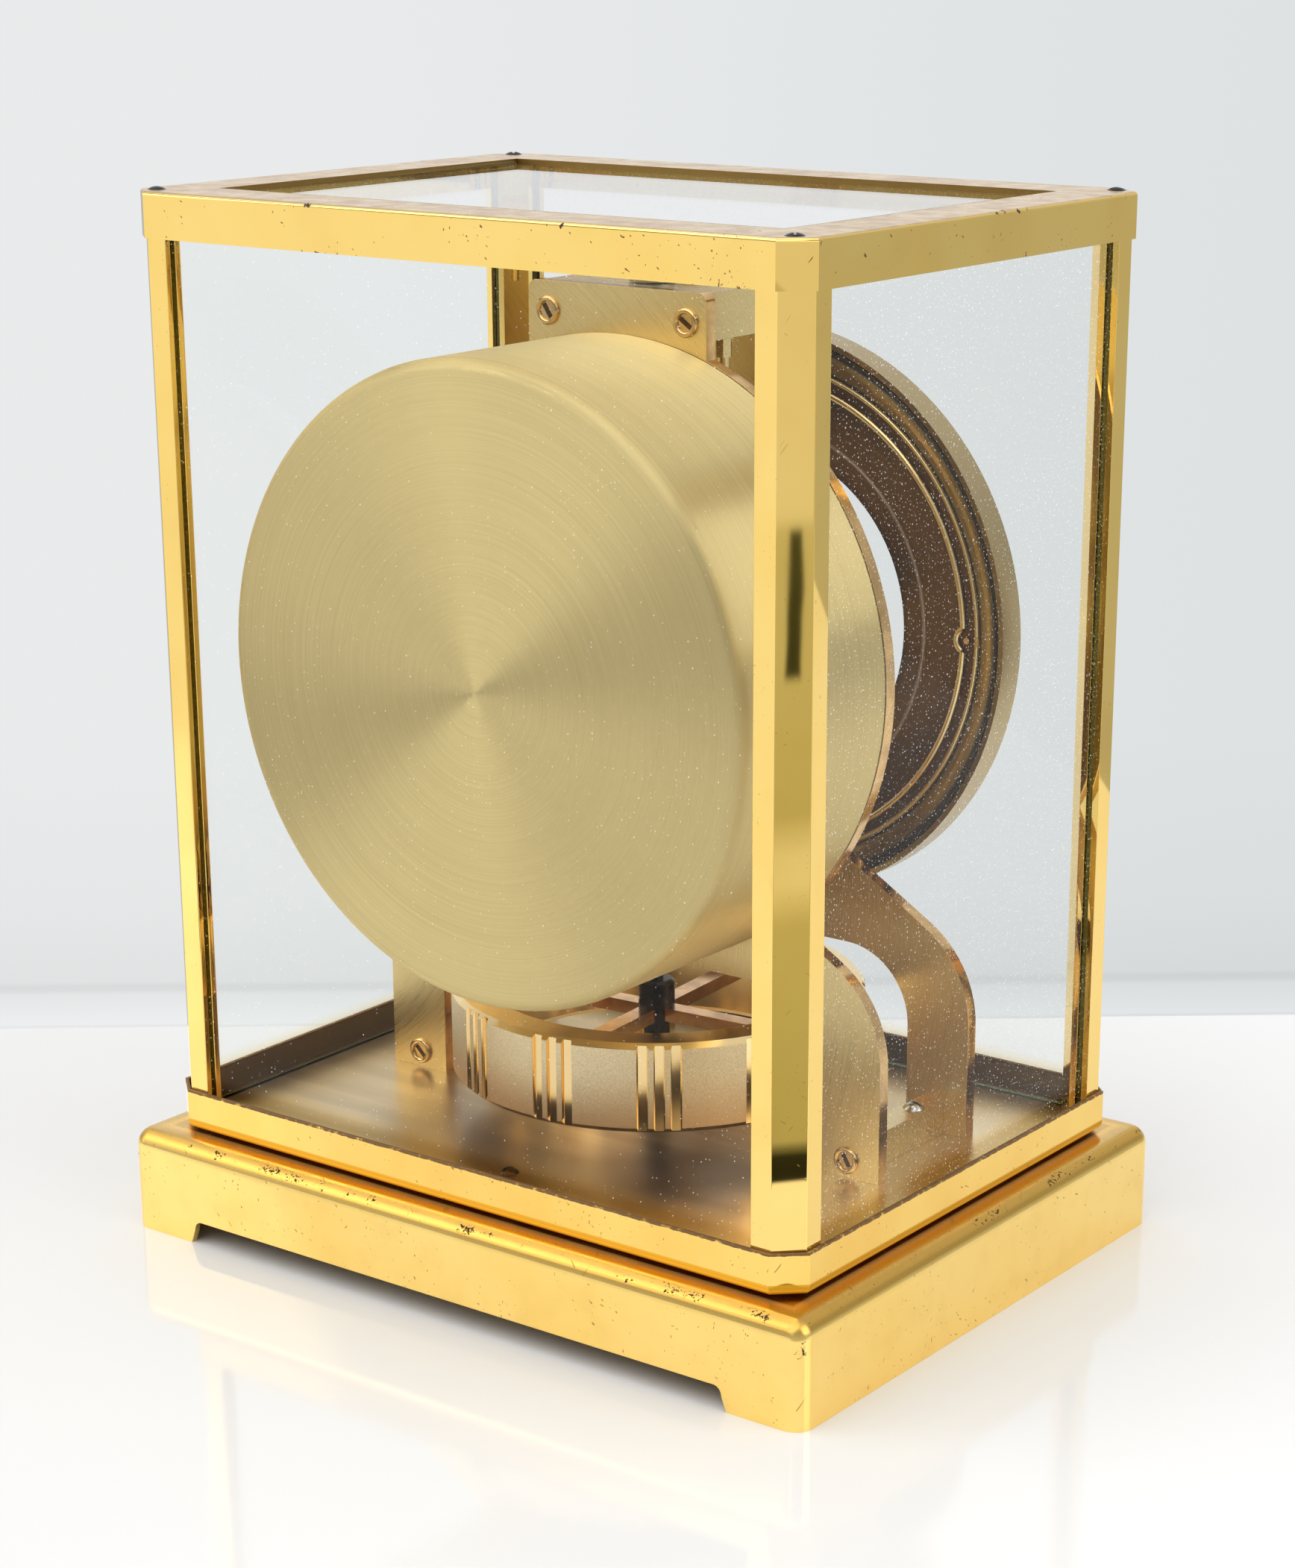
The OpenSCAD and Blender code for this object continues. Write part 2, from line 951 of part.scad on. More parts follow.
module bellows() {
    pitch = (bellows_y[1] - bellows_y[0]) / (2 * bellows_pleats);
    outer = [
        for (i = [0 : 2 * bellows_pleats])
            [i % 2 == 0 ? bellows_in_r : bellows_out_r, bellows_y[0] + i * pitch]
    ];
    inner = [
        for (i = [2 * bellows_pleats : -1 : 0])
            [outer[i][0] - bellows_skin, outer[i][1]]
    ];
    color(copper) {
        y_lathe() {
            polygon(concat(outer, inner));
            for (y = [bellows_y[0], bellows_y[1] - bellows_wall])
                translate([0, y])
                    square([bellows_in_r, bellows_wall]);
        }
        y_bar(stem_r, [stem_end, bellows_y[0] + bellows_wall / 2]);
    }
}

// Dial

module dial_profile() {
    hoop_in = dial_r - hoop_t;
    difference() {
        union() {
            translate([dial_hole_r, dial_front])
                square([step_r - dial_hole_r, dial_step - dial_front]);
            translate([step_r - past, dial_front])
                square([hoop_in - step_r + past + hoop_t / 2, dial_back - dial_front]);
            translate([hoop_in, hoop_y[0]])
                square([hoop_t, hoop_y[1] - hoop_y[0]]);
            difference() {
                translate([hoop_in - cove_r, dial_back - bite])
                    square([cove_r + bite, cove_h]);
                translate([hoop_in - cove_r, dial_back + cove_r])
                    circle(cove_r);
            }
            translate([ridge_r, dial_back])
                circle(ridge_bead_r);
            translate([step_r, dial_step - bite])
                circle(step_bead_r);
        }
        translate([scribe_r, dial_step])
            circle(scribe_cut_r);
    }
}

// places of the four notches, each with its own axis along Y
module notch_places() {
    for (q = [0 : 3])
        translate([0, 0, axis_z])
            rotate([0, 90 * q, 0])
                translate([notch_at, 0, 0])
                    children();
}

module dial_ring() {
    color(dark) {
        difference() {
            y_lathe()
                dial_profile();
            notch_places()
                y_bar(notch_r, [dial_back, hoop_y[1]], 0, 0);
        }
        intersection() {
            notch_places()
                y_lathe(0)
                    translate([notch_r, dial_step - bite])
                        circle(step_bead_r);
            y_bar(step_r, hoop_y);
        }
        notch_places()
            y_bar(dial_pin_r, [dial_back - bite, dial_step + bite], 0, 0);
    }
}

module marker_2d(w) {
    translate([marker_from, -w / 2])
        square([marker_len, w]);
}

module hour_markers() {
    color(gilt)
        xz_plate([dial_front - marker_t, dial_front])
            translate([0, axis_z])
                for (h = [0 : 11])
                    rotate(30 * h)
                        marker_2d(h % 3 == 0 ? quarter_w : marker_w);
}

module dial_pillars() {
    color(satin)
        for (a = pillar_turns)
            y_bar(pillar_r, [dial_step, front_y[0]], pillar_at * cos(a), axis_z + pillar_at * sin(a));
}

// tapered open hand lying along +X in the dial plane, widest at its belly
module hand_2d(length, half, eye) {
    belly = 0.45 * length;
    tail = -0.2 * length;
    window = [0.25 * length, 0.8 * length];
    difference() {
        union() {
            polygon([
                [0, -0.6 * half], [belly, -half], [length, -hand_tip_half], [length, hand_tip_half],
                [belly, half], [0, 0.6 * half]
            ]);
            polygon([[0, -0.5 * half], [0, 0.5 * half], [tail, 0.8 * half], [tail, -0.8 * half]]);
            circle(half + hand_eye_wall);
        }
        polygon([[window[0], 0], [belly, -0.55 * half], [window[1], 0], [belly, 0.55 * half]]);
        circle(eye);
    }
}

module minute_hand() {
    color(dark)
        xz_plate(minute_hand_y)
            translate([0, axis_z])
                rotate(90 - 6 * minute_now)
                    hand_2d(minute_hand_len, minute_hand_half, cannon_r + press);
}

module hour_hand() {
    color(dark)
        xz_plate(hour_hand_y)
            translate([0, axis_z])
                rotate(90 - 30 * (hour_now + minute_now / 60))
                    hand_2d(hour_hand_len, hour_hand_half, hour_tube_r + press);
}

// Going train

module train_bridge() {
    color(satin) {
        xz_plate(bridge_y)
            difference() {
                union() {
                    link_2d([-bridge_pillar_x, axis_z], [bridge_pillar_x, axis_z], bridge_w);
                    link_2d([0, axis_z], [0, bridge_top_z], bridge_spine_w);
                    translate([-cock_half, cock_z[0]])
                        square([2 * cock_half, axis_z - cock_z[0]]);
                }
                translate([0, axis_z])
                    circle(bush_r + press);
                translate([0, barrel_z])
                    circle(barrel_arbor_r + press);
            }
        difference() {
            translate([-cock_half, escape_y - cock_reach, cock_z[0]])
                cube([2 * cock_half, bridge_y[0] - escape_y + cock_reach + past, cock_z[1] - cock_z[0]]);
            z_bar(escape_shaft_r + run, [cock_z[0] - past, cock_z[1] + past], 0, escape_y);
        }
    }
}

module bridge_pillars() {
    color(satin)
        for (p = [[-bridge_pillar_x, axis_z], [bridge_pillar_x, axis_z], [0, bridge_top_z]])
            y_bar(bridge_pillar_r, [front_y[1], bridge_y[0]], p[0], p[1]);
}

module bushes() {
    color(ruby)
        for (y = [front_y, bridge_y])
            xz_plate(y)
                translate([0, axis_z])
                    ring_2d(bush_r, centre_r + run);
}

module barrel_arbor() {
    color(steel) {
        y_bar(barrel_arbor_r, [front_y[0] + pivot_short, bridge_y[1] + pivot_over], 0, barrel_z);
        y_bar(barrel_core_r, barrel_core_y, 0, barrel_z);
    }
}

module barrel() {
    color(gilt)
        difference() {
            union() {
                y_bar(barrel_r, barrel_y, 0, barrel_z);
                xz_plate([barrel_y[0], barrel_y[0] + barrel_teeth_t])
                    translate([0, barrel_z])
                        gear_2d(barrel_teeth);
            }
            y_bar(barrel_r - barrel_wall, [barrel_y[0] + barrel_teeth_t, barrel_y[1] - barrel_wall],
                0, barrel_z);
            y_bar(barrel_arbor_r + run, [barrel_y[0] - past, barrel_y[1] + past], 0, barrel_z);
        }
}

// flat coils drawn as nested half rings whose centres alternate
module mainspring() {
    color(steel)
        xz_plate(spring_y)
            translate([0, barrel_z])
                for (i = [0 : 2 * spring_coils - 1]) {
                    r = spring_start_r + i * spring_pitch / 2;
                    translate([i % 2 == 0 ? 0 : -spring_pitch / 4, 0])
                        intersection() {
                            ring_2d(r + spring_t, r);
                            translate([-barrel_r, i % 2 == 0 ? 0 : -barrel_r])
                                square([2 * barrel_r, barrel_r]);
                        }
                }
}

module centre_arbor() {
    color(steel) {
        y_bar(centre_r, [front_y[0] - pivot_over, bridge_y[1] + pivot_over]);
        y_bar(cannon_r, [minute_hand_y[0] - pivot_over, front_y[0] - pivot_over + bite]);
        xz_plate(centre_pinion_y)
            translate([0, axis_z])
                rotate(180 / centre_pinion_teeth)
                    gear_2d(centre_pinion_teeth);
        xz_plate(minute_wheel_y)
            translate([0, axis_z])
                rotate(motion_dir)
                    gear_2d(cannon_teeth);
    }
}

module crown_wheel() {
    color(gilt)
        difference() {
            union() {
                xz_plate(crown_y)
                    translate([0, axis_z])
                        ring_2d(crown_outer_r, crown_outer_r - crown_rim);
                xz_plate([crown_y[0], crown_y[0] + crown_web_t])
                    translate([0, axis_z]) {
                        circle(crown_hub_r);
                        for (a = [0, 90])
                            rotate(a)
                                square([2 * crown_outer_r - crown_rim, crown_arm_w], center = true);
                    }
            }
            y_bar(centre_r + press, [crown_y[0] - past, crown_y[1] + past]);
            for (i = [0 : crown_teeth - 1])
                translate([0, 0, axis_z])
                    rotate([0, 360 / crown_teeth * i, 0])
                        translate([-crown_slot_w / 2, crown_slot_y, -crown_outer_r - past])
                            cube([crown_slot_w, crown_y[1] - crown_slot_y + past, crown_rim + 2 * past]);
        }
}

module minute_stud() {
    color(steel)
        y_bar(stud_r, [minute_pinion_y[0] - pivot_over, front_y[1]], motion_at[0], motion_at[1]);
}

module minute_wheel() {
    color(gilt)
        difference() {
            union() {
                xz_plate(minute_wheel_y)
                    translate(motion_at)
                        rotate(motion_dir - 180 + 180 / minute_teeth)
                            gear_2d(minute_teeth);
                xz_plate([minute_pinion_y[0], minute_wheel_y[0] + bite])
                    translate(motion_at)
                        rotate(motion_dir - 180)
                            gear_2d(minute_pinion_teeth);
            }
            y_bar(stud_r + run, [minute_pinion_y[0] - past, front_y[0]], motion_at[0], motion_at[1]);
        }
}

module hour_wheel() {
    color(gilt)
        difference() {
            union() {
                xz_plate(hour_wheel_y)
                    translate([0, axis_z])
                        rotate(motion_dir + 180 / hour_teeth)
                            gear_2d(hour_teeth);
                y_bar(hour_tube_r, [hour_hand_y[0] - pivot_short, hour_wheel_y[1]]);
            }
            y_bar(cannon_r + run, [hour_hand_y[0] - past, hour_wheel_y[1] + past]);
        }
}

module escape_arbor() {
    color(steel) {
        z_bar(escape_shaft_r, [cage_low[0] + pivot_in, cock_z[1] - pivot_short], 0, escape_y);
        translate([0, escape_y, escape_pinion_z[0]])
            linear_extrude(escape_pinion_z[1] - escape_pinion_z[0])
                rotate(-90)
                    gear_2d(escape_pinion_teeth, escape_pinion_m);
    }
}

module escape_wheel() {
    step = 360 / escape_teeth;
    tooth = [[escape_root_r, -6], [escape_r, -2], [escape_r, 2], [escape_root_r, 5]];
    color(gilt)
        translate([0, escape_y, escape_z[0]])
            linear_extrude(escape_z[1] - escape_z[0])
                difference() {
                    polygon([
                        for (i = [0 : escape_teeth - 1], p = tooth)
                            p[0] * [cos(90 + (i + 0.5) * step + p[1]), sin(90 + (i + 0.5) * step + p[1])]
                    ]);
                    for (q = [0 : 3])
                        rotate(90 * q)
                            intersection() {
                                ring_2d(escape_eye_r[1], escape_eye_r[0]);
                                translate([escape_arm_half, escape_arm_half])
                                    square(escape_r);
                            }
                    circle(escape_shaft_r + press);
                }
}

// rocking fork, its arms reach round the escape wheel and its tail takes the impulse pin
module pallet_fork() {
    stone_at = escape_r + stone_gap + stone_size[1] / 2;
    stone = [stone_at * sin(pallet_angle), escape_y - pallet_y + stone_at * cos(pallet_angle)];
    stem = [0, fork_stem];
    color(steel)
        translate([0, pallet_y, 0]) {
            translate([0, 0, escape_z[0]])
                linear_extrude(escape_z[1] - escape_z[0]) {
                    circle(fork_hub_r);
                    link_2d([0, 0], stem, fork_bar_w);
                    for (s = [-1, 1]) {
                        horn = [s * fork_horn_at[0], fork_horn_at[1]];
                        link_2d([0, 0], [s * stone[0], stone[1]], fork_bar_w);
                        translate([s * stone[0], stone[1]])
                            rotate(-s * pallet_angle)
                                square(stone_size, center = true);
                        link_2d(stem, horn, fork_bar_w);
                        link_2d(horn, horn + [0, fork_horn_len], fork_bar_w);
                    }
                }
            z_bar(pallet_r, [cage_low[0] + pivot_in, cage_high[1] - pivot_short]);
        }
}

module escape_cage() {
    color(satin)
        difference() {
            union() {
                for (z = [cage_low, cage_high])
                    translate([-cage_half, cage_y[0], z[0]])
                        cube([2 * cage_half, cage_y[1] - cage_y[0], z[1] - z[0]]);
                for (s = [-1, 1])
                    z_bar(cage_pillar_r, [cage_low[1] - past, cage_high[0] + past],
                        s * cage_pillar_at[0], cage_pillar_at[1]);
            }
            z_bar(escape_shaft_r + run, [cage_low[0] - past, cage_low[1] + past], 0, escape_y);
            z_bar(escape_shaft_r + cage_free, [cage_high[0] - past, cage_high[1] + past], 0, escape_y);
            z_bar(pallet_r + run, [cage_low[0] - past, cage_high[1] + past], 0, pallet_y);
        }
}

// Pendulum

// flat-bottomed flute across the ring's wall at +X
module flute_2d() {
    half = flute_floor_w / 2;
    polygon([
        [ring_r - flute_depth, -half], [ring_r + flute_depth, half - flute_w],
        [ring_r + flute_depth, flute_w - half], [ring_r - flute_depth, half]
    ]);
}

module pendulum_ring() {
    r0 = ring_bore_r;
    c = ring_chamfer;
    color(copper)
        translate([0, pend_y, 0])
            difference() {
                rotate_extrude()
                    polygon([
                        [r0 + c, ring_z[0]], [ring_r - c, ring_z[0]], [ring_r, ring_z[0] + c],
                        [ring_r, ring_z[1] - c], [ring_r - c, ring_z[1]], [r0 + c, ring_z[1]],
                        [r0, ring_z[1] - c], [r0, ring_z[0] + c]
                    ]);
                for (g = [0 : flute_groups - 1], k = [-1 : 1])
                    rotate([0, 0, flute_phase + 360 / flute_groups * g + flute_pitch * k])
                        translate([0, 0, ring_z[0] - past])
                            linear_extrude(ring_z[1] - ring_z[0] + 2 * past)
                                flute_2d();
            }
}

module pendulum_spokes() {
    color(copper)
        translate([0, pend_y, 0])
            intersection() {
                difference() {
                    for (a = [0, 90])
                        rotate([0, 0, spoke_phase + a])
                            translate([-ring_r, -spoke_w / 2, spoke_z[0]])
                                cube([2 * ring_r, spoke_w, spoke_z[1] - spoke_z[0]]);
                    z_bar(collar_r, [0, case_h]);
                }
                z_bar(ring_bore_r - press, [0, case_h]);
            }
}

module pendulum_hub() {
    tip = bearing_top - tip_depth;
    color(dark)
        translate([0, pend_y, 0])
            rotate_extrude()
                polygon([
                    [0, tip], [tip_r, tip], [tip_r, hub_z[0]], [hub_r, hub_z[0]], [hub_r, hub_z[1]],
                    [collar_r, hub_z[1]], [collar_r, collar_top - collar_chamfer],
                    [collar_r - collar_chamfer, collar_top], [rod_r, collar_top], [rod_r, rod_step_z],
                    [staff_r, rod_step_z], [staff_r, staff_top], [0, staff_top]
                ]);
}

module torsion_wire() {
    color(steel)
        z_bar(wire_r, [staff_top, wire_top], 0, pend_y);
}

module roller() {
    color(steel)
        translate([0, pend_y, 0]) {
            difference() {
                z_bar(roller_r, roller_z);
                z_bar(staff_r + press, [0, case_h]);
            }
            z_bar(impulse_r, [roller_z[1] - impulse_foot, escape_z[1] + impulse_over], 0, -impulse_at);
        }
}

module suspension_head() {
    color(satin)
        translate([0, pend_y, 0])
            rotate_extrude()
                polygon([
                    [0, head_bottom], [head_tip_r, head_bottom], [head_r, head_bottom + head_taper],
                    [head_r, block_z[0]], [0, block_z[0]]
                ]);
}

module bearing_post() {
    color(satin)
        translate([0, pend_y, 0])
            difference() {
                z_bar(bearing_r, [floor_z, bearing_top]);
                z_bar(tip_r + run, [bearing_top - bearing_depth, bearing_top + past]);
            }
}

// Floor fittings and adjusters

module floor_screw() {
    color(steel)
        translate([0, floor_screw_y, floor_z])
            rotate([0, 0, floor_slot_turn])
                slotted_head(floor_screw_r, floor_screw_h);
}

module level_cup() {
    color(gilt)
        translate([level_at[0], level_at[1], 0])
            difference() {
                z_bar(level_r, [floor_z, level_top]);
                z_bar(level_r - level_wall, [floor_z + level_base_t, level_top + past]);
            }
}

module level_glass() {
    color(clear)
        translate([level_at[0], level_at[1], 0])
            z_bar(level_r - level_wall, [floor_z + level_base_t, level_fill_top]);
}

module lock_screw() {
    color(steel)
        translate([lock_at[0], lock_at[1], 0]) {
            z_bar(screw_r, [floor_z, lock_z[1] + lock_play]);
            translate([0, 0, lock_z[1] + lock_play])
                slotted_head(lock_head_r, lock_head_h);
        }
}

module lock_lever() {
    color(gilt)
        translate([lock_at[0], lock_at[1], 0])
            difference() {
                union() {
                    translate([0, 0, lock_z[0]])
                        linear_extrude(lock_z[1] - lock_z[0]) {
                            link_2d([0, 0], [lock_len, 0], lock_w);
                            circle(lock_eye_r);
                        }
                    z_bar(lock_pin_r, [lock_z[1] - bite, lock_z[1] + lock_pin_h], lock_len, 0);
                }
                z_bar(screw_r + run, [lock_z[0] - past, lock_z[1] + past]);
            }
}

// knurled levelling foot with its stud
module level_foot() {
    color(gilt)
        translate([level_foot_at[0], level_foot_at[1], 0]) {
            difference() {
                z_bar(level_foot_r, level_foot_z);
                for (i = [0 : knurls - 1])
                    rotate([0, 0, 360 / knurls * i])
                        z_bar(knurl_r, [0, level_foot_z[1] + past], level_foot_r + knurl_out, 0);
            }
            z_bar(level_stud_r, [level_foot_z[1] - bite, level_stud_top]);
        }
}

module foot_left() {
    level_foot();
}

module foot_right() {
    mirror([1, 0, 0])
        level_foot();
}

module rate_lever() {
    color(steel)
        translate([0, pend_y, 0]) {
            translate([0, 0, rate_z[0]])
                linear_extrude(rate_z[1] - rate_z[0]) {
                    circle(rate_hub_r);
                    link_2d([0, 0], [0, -rate_len], rate_w);
                }
            z_bar(screw_r, [block_z[1] - rate_pin_len, rate_z[0] + bite]);
        }
}

plinth();
rim();
floor_plate();
post_rear_left();
post_rear_right();
post_front_left();
post_front_right();
cap();
cap_screws();
top_glass();
rear_glass();
left_glass();
right_glass();
base_screws();
rear_plate();
front_plate();
foot_bars();
bar_screws();
top_block();
plate_screws();
drum();
dial_ring();
hour_markers();
dial_pillars();
suspension_head();
block_studs();
train_bridge();
bridge_pillars();
escape_cage();
bushes();
floor_screw();
level_cup();
level_glass();
bearing_post();
barrel_arbor();
minute_stud();
lock_screw();
front_glass();
pane_knob();
bellows();
pendulum_ring();
pendulum_spokes();
pendulum_hub();
torsion_wire();
roller();
barrel();
mainspring();
centre_arbor();
crown_wheel();
minute_hand();
minute_wheel();
hour_wheel();
hour_hand();
escape_arbor();
escape_wheel();
pallet_fork();
lock_lever();
foot_left();
foot_right();
rate_lever();
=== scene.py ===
import bpy
import bmesh
import json
import math
from mathutils import Matrix, Vector


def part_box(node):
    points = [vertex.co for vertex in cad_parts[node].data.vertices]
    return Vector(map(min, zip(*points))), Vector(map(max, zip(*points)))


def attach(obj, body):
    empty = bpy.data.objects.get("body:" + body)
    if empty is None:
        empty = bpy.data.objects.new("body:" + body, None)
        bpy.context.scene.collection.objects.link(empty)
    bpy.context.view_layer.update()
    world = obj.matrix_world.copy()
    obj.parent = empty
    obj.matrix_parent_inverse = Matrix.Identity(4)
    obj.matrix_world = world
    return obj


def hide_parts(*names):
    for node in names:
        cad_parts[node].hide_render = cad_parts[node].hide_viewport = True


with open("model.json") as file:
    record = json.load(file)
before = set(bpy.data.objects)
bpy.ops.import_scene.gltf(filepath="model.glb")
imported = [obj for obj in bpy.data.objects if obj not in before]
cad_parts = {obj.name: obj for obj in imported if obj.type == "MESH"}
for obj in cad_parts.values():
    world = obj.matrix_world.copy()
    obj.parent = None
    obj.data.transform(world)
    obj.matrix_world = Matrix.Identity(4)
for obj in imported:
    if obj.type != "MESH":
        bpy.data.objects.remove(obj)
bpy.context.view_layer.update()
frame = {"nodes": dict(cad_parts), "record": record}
nodes = frame["nodes"]
bodyOf = {n: body for body, members in frame["record"]["behaviour"]["bodies"].items() for n in members}
mm = 0.001


def middle(nodeName):
    low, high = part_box(nodeName)
    return tuple((a + b) / 2 for a, b in zip(low, high))


def boxOf(*nodeNames):  # centre and half sizes of the box round some nodes
    lows, highs = zip(*(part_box(n) for n in nodeNames))
    low = Vector([min(c) for c in zip(*lows)])
    high = Vector([max(c) for c in zip(*highs)])
    return tuple((low + high) / 2), tuple((high - low) / 2)


axisZ = middle("drum")[2]  # height of the drum and dial axis
pendulumY = middle("pendulum_ring")[1]
rimLow, rimTop = (corner[2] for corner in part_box("rim"))
rimHalf = boxOf("rim")[1]
capHalf = boxOf("cap")[1]
bpy.context.scene.view_settings.view_transform = "Standard"  # plain tones, as in a bright studio photograph
print("frame loaded,", len(nodes), "nodes")


# camera

cameraSettings = {
    "place": (-0.4205, 0.5470, 0.2839), "azimuth": 36.381, "elevation": 18.498,
    "lens": 76.44, "sensor": 36, "shift": (-0.0371, 0.1353), "nearest": 0.01,
}


def makeCamera(s):
    a = math.radians(s["azimuth"])
    e = math.radians(s["elevation"])
    back = Vector((-math.sin(a) * math.cos(e), math.cos(a) * math.cos(e), math.sin(e)))
    right = Vector((0, 0, 1)).cross(back).normalized()
    up = back.cross(right)
    data = bpy.data.cameras.new("photoCamera")
    data.sensor_fit = "VERTICAL"
    data.sensor_height = s["sensor"]
    data.lens = s["lens"]
    data.shift_x, data.shift_y = s["shift"]
    data.clip_start = s["nearest"]
    cam = bpy.data.objects.new("photoCamera", data)
    turn = Matrix((right, up, back)).transposed().to_4x4()
    cam.matrix_world = Matrix.Translation(s["place"]) @ turn
    bpy.context.scene.collection.objects.link(cam)
    bpy.context.scene.camera = cam


makeCamera(cameraSettings)
print("camera set")


# node helpers, t is the node tree that they add to

origin = (0.0, 0.0, 0.0)
black = (0, 0, 0, 1)
brown = (0.055, 0.026, 0.010, 1)
socketKinds = {int: "NodeSocketInt", float: "NodeSocketFloat", tuple: "NodeSocketVector"}


def feed(t, value, socket):  # a socket is linked, a number or colour is set
    if isinstance(value, bpy.types.NodeSocket):
        t.links.new(value, socket)
    else:
        socket.default_value = value


def feedEach(t, sockets, values):  # in the order of the sockets
    for socket, value in zip(sockets, values):
        feed(t, value, socket)


def fill(t, node, **values):  # inputs are fed by name, an underscore stands for a space
    for label, value in values.items():
        feed(t, value, node.inputs[label.replace("_", " ")])
    return node.outputs


def make(t, kind, **values):
    return fill(t, t.nodes.new(kind), **values)


def calc(t, op, *values):
    node = t.nodes.new("ShaderNodeMath")
    node.operation = op
    feedEach(t, node.inputs, values)
    return node.outputs[0]


def chain(t, op, first, *others):  # one operation over any number of values
    for other in others:
        first = calc(t, op, first, other)
    return first


def times(t, *values):
    return chain(t, "MULTIPLY", *values)


def plus(t, *values):
    return chain(t, "ADD", *values)


def minus(t, *values):
    return chain(t, "SUBTRACT", *values)


def most(t, *values):
    return chain(t, "MAXIMUM", *values)


def vectorCalc(t, op, *values):
    node = t.nodes.new("ShaderNodeVectorMath")
    node.operation = op
    feedEach(t, node.inputs, values)
    return node.outputs["Value"] if op in {"LENGTH", "DOT_PRODUCT"} else node.outputs[0]


def ramp(t, value, low, high, outLow=0.0, outHigh=1.0):  # smooth step from one value to another
    node = t.nodes.new("ShaderNodeMapRange")
    node.interpolation_type = "SMOOTHSTEP"
    return fill(t, node, Value=value, From_Min=low, From_Max=high, To_Min=outLow, To_Max=outHigh)["Result"]


def band(t, value, low, high, soft):  # 1 between two values, with soft sides
    rise = ramp(t, value, low - soft, low + soft)
    return times(t, rise, ramp(t, value, high - soft, high + soft, 1.0, 0.0))


def noise(t, place, scale, detail=2.0, rough=0.5, distortion=0.0):
    return make(t, "ShaderNodeTexNoise", Vector=place, Scale=scale, Detail=detail, Roughness=rough,
                Distortion=distortion)["Fac"]


def mixColor(t, factor, a, b):
    node = t.nodes.new("ShaderNodeMix")
    node.data_type = "RGBA"
    feed(t, factor, node.inputs["Factor"])
    feedEach(t, [i for i in node.inputs if i.type == "RGBA"], (a, b))
    return [o for o in node.outputs if o.type == "RGBA"][0]


def colorRamp(t, value, stops):  # stops are (place, colour) pairs
    node = t.nodes.new("ShaderNodeValToRGB")
    feed(t, value, node.inputs[0])
    elements = node.color_ramp.elements
    while len(elements) < len(stops):
        elements.new(0.5)
    for element, (place, color) in zip(elements, stops):
        element.position = place
        element.color = color
    return node.outputs[0]


def spanRamp(t, value, span, stops):  # stops are placed in the value's own unit, up to the span
    return colorRamp(t, calc(t, "DIVIDE", value, span), [(place / span, color) for place, color in stops])


def splitXyz(t, place):
    return list(make(t, "ShaderNodeSeparateXYZ", Vector=place))


def joinXyz(t, x, y, z):
    return make(t, "ShaderNodeCombineXYZ", X=x, Y=y, Z=z)[0]


def radiusAbout(t, coords, centre, axis):  # distance from a line along one axis
    x, y, z = splitXyz(t, vectorCalc(t, "SUBTRACT", coords, centre))
    a, b = {"Y": (x, z), "Z": (x, y)}[axis]
    return calc(t, "SQRT", plus(t, times(t, a, a), times(t, b, b)))


def newGroup(name, kind, inputs, outputs):  # an input is told by its value or its kind of socket
    t = bpy.data.node_groups.new(name, kind)
    for label, value in inputs.items():
        bare = isinstance(value, str)
        socketKind = value if bare else socketKinds[type(value)]
        socket = t.interface.new_socket(label, in_out="INPUT", socket_type=socketKind)
        if not bare:
            socket.default_value = value
    for label, socketKind in outputs.items():
        t.interface.new_socket(label, in_out="OUTPUT", socket_type=socketKind)
    return t, t.nodes.new("NodeGroupInput").outputs, t.nodes.new("NodeGroupOutput").inputs


def newMask(name, inputs, *outputs):
    return newGroup(name, "ShaderNodeTree", inputs, dict.fromkeys(outputs, "NodeSocketFloat"))


def useGroup(t, group, **values):
    node = t.nodes.new("ShaderNodeGroup")
    node.node_tree = group
    return fill(t, node, **values)


# shared effects

turnedLayers = {  # shift and share of the lines, detail and roughness of their noise
    "Fine": (0.0, 1.0, 3.0, 0.65), "Coarse": (5.0, 0.1, 2.0, 0.5),
}


def makeTurnedGrain(layers):  # lathe lines round the Y axis, on faces by radius and on walls by depth
    t, i, o = newMask("turnedGrain", {"Vector": origin, "Density": 900.0, "Wander": 0.6}, *layers)
    x, y, z = splitXyz(t, i["Vector"])
    lines = times(t, plus(t, radiusAbout(t, i["Vector"], origin, "Y"), y), i["Density"])
    sweep = vectorCalc(t, "SCALE", vectorCalc(t, "NORMALIZE", joinXyz(t, x, 0.0, z)))
    t.links.new(i["Wander"], sweep.node.inputs["Scale"])
    for label, (shift, share, detail, rough) in layers.items():
        along = joinXyz(t, shift, times(t, lines, share), 0.0)
        t.links.new(noise(t, vectorCalc(t, "ADD", sweep, along), 1.0, detail, rough), o[label])
    return t


straightLayers = {  # share of the scale, detail and roughness of the noise
    "Fine": (1.0, 3.0, 0.6), "Coarse": (0.12, 2.0, 0.5),
}


def makeStraightGrain(layers):  # fine lines along one direction
    inputs = {"Vector": origin, "Stretch": (1.0, 1.0, 1.0), "Scale": 1.0}
    t, i, o = newMask("straightGrain", inputs, *layers)
    stretched = vectorCalc(t, "MULTIPLY", i["Vector"], i["Stretch"])
    for label, (share, detail, rough) in layers.items():
        t.links.new(noise(t, stretched, times(t, i["Scale"], share), detail, rough), o[label])
    return t


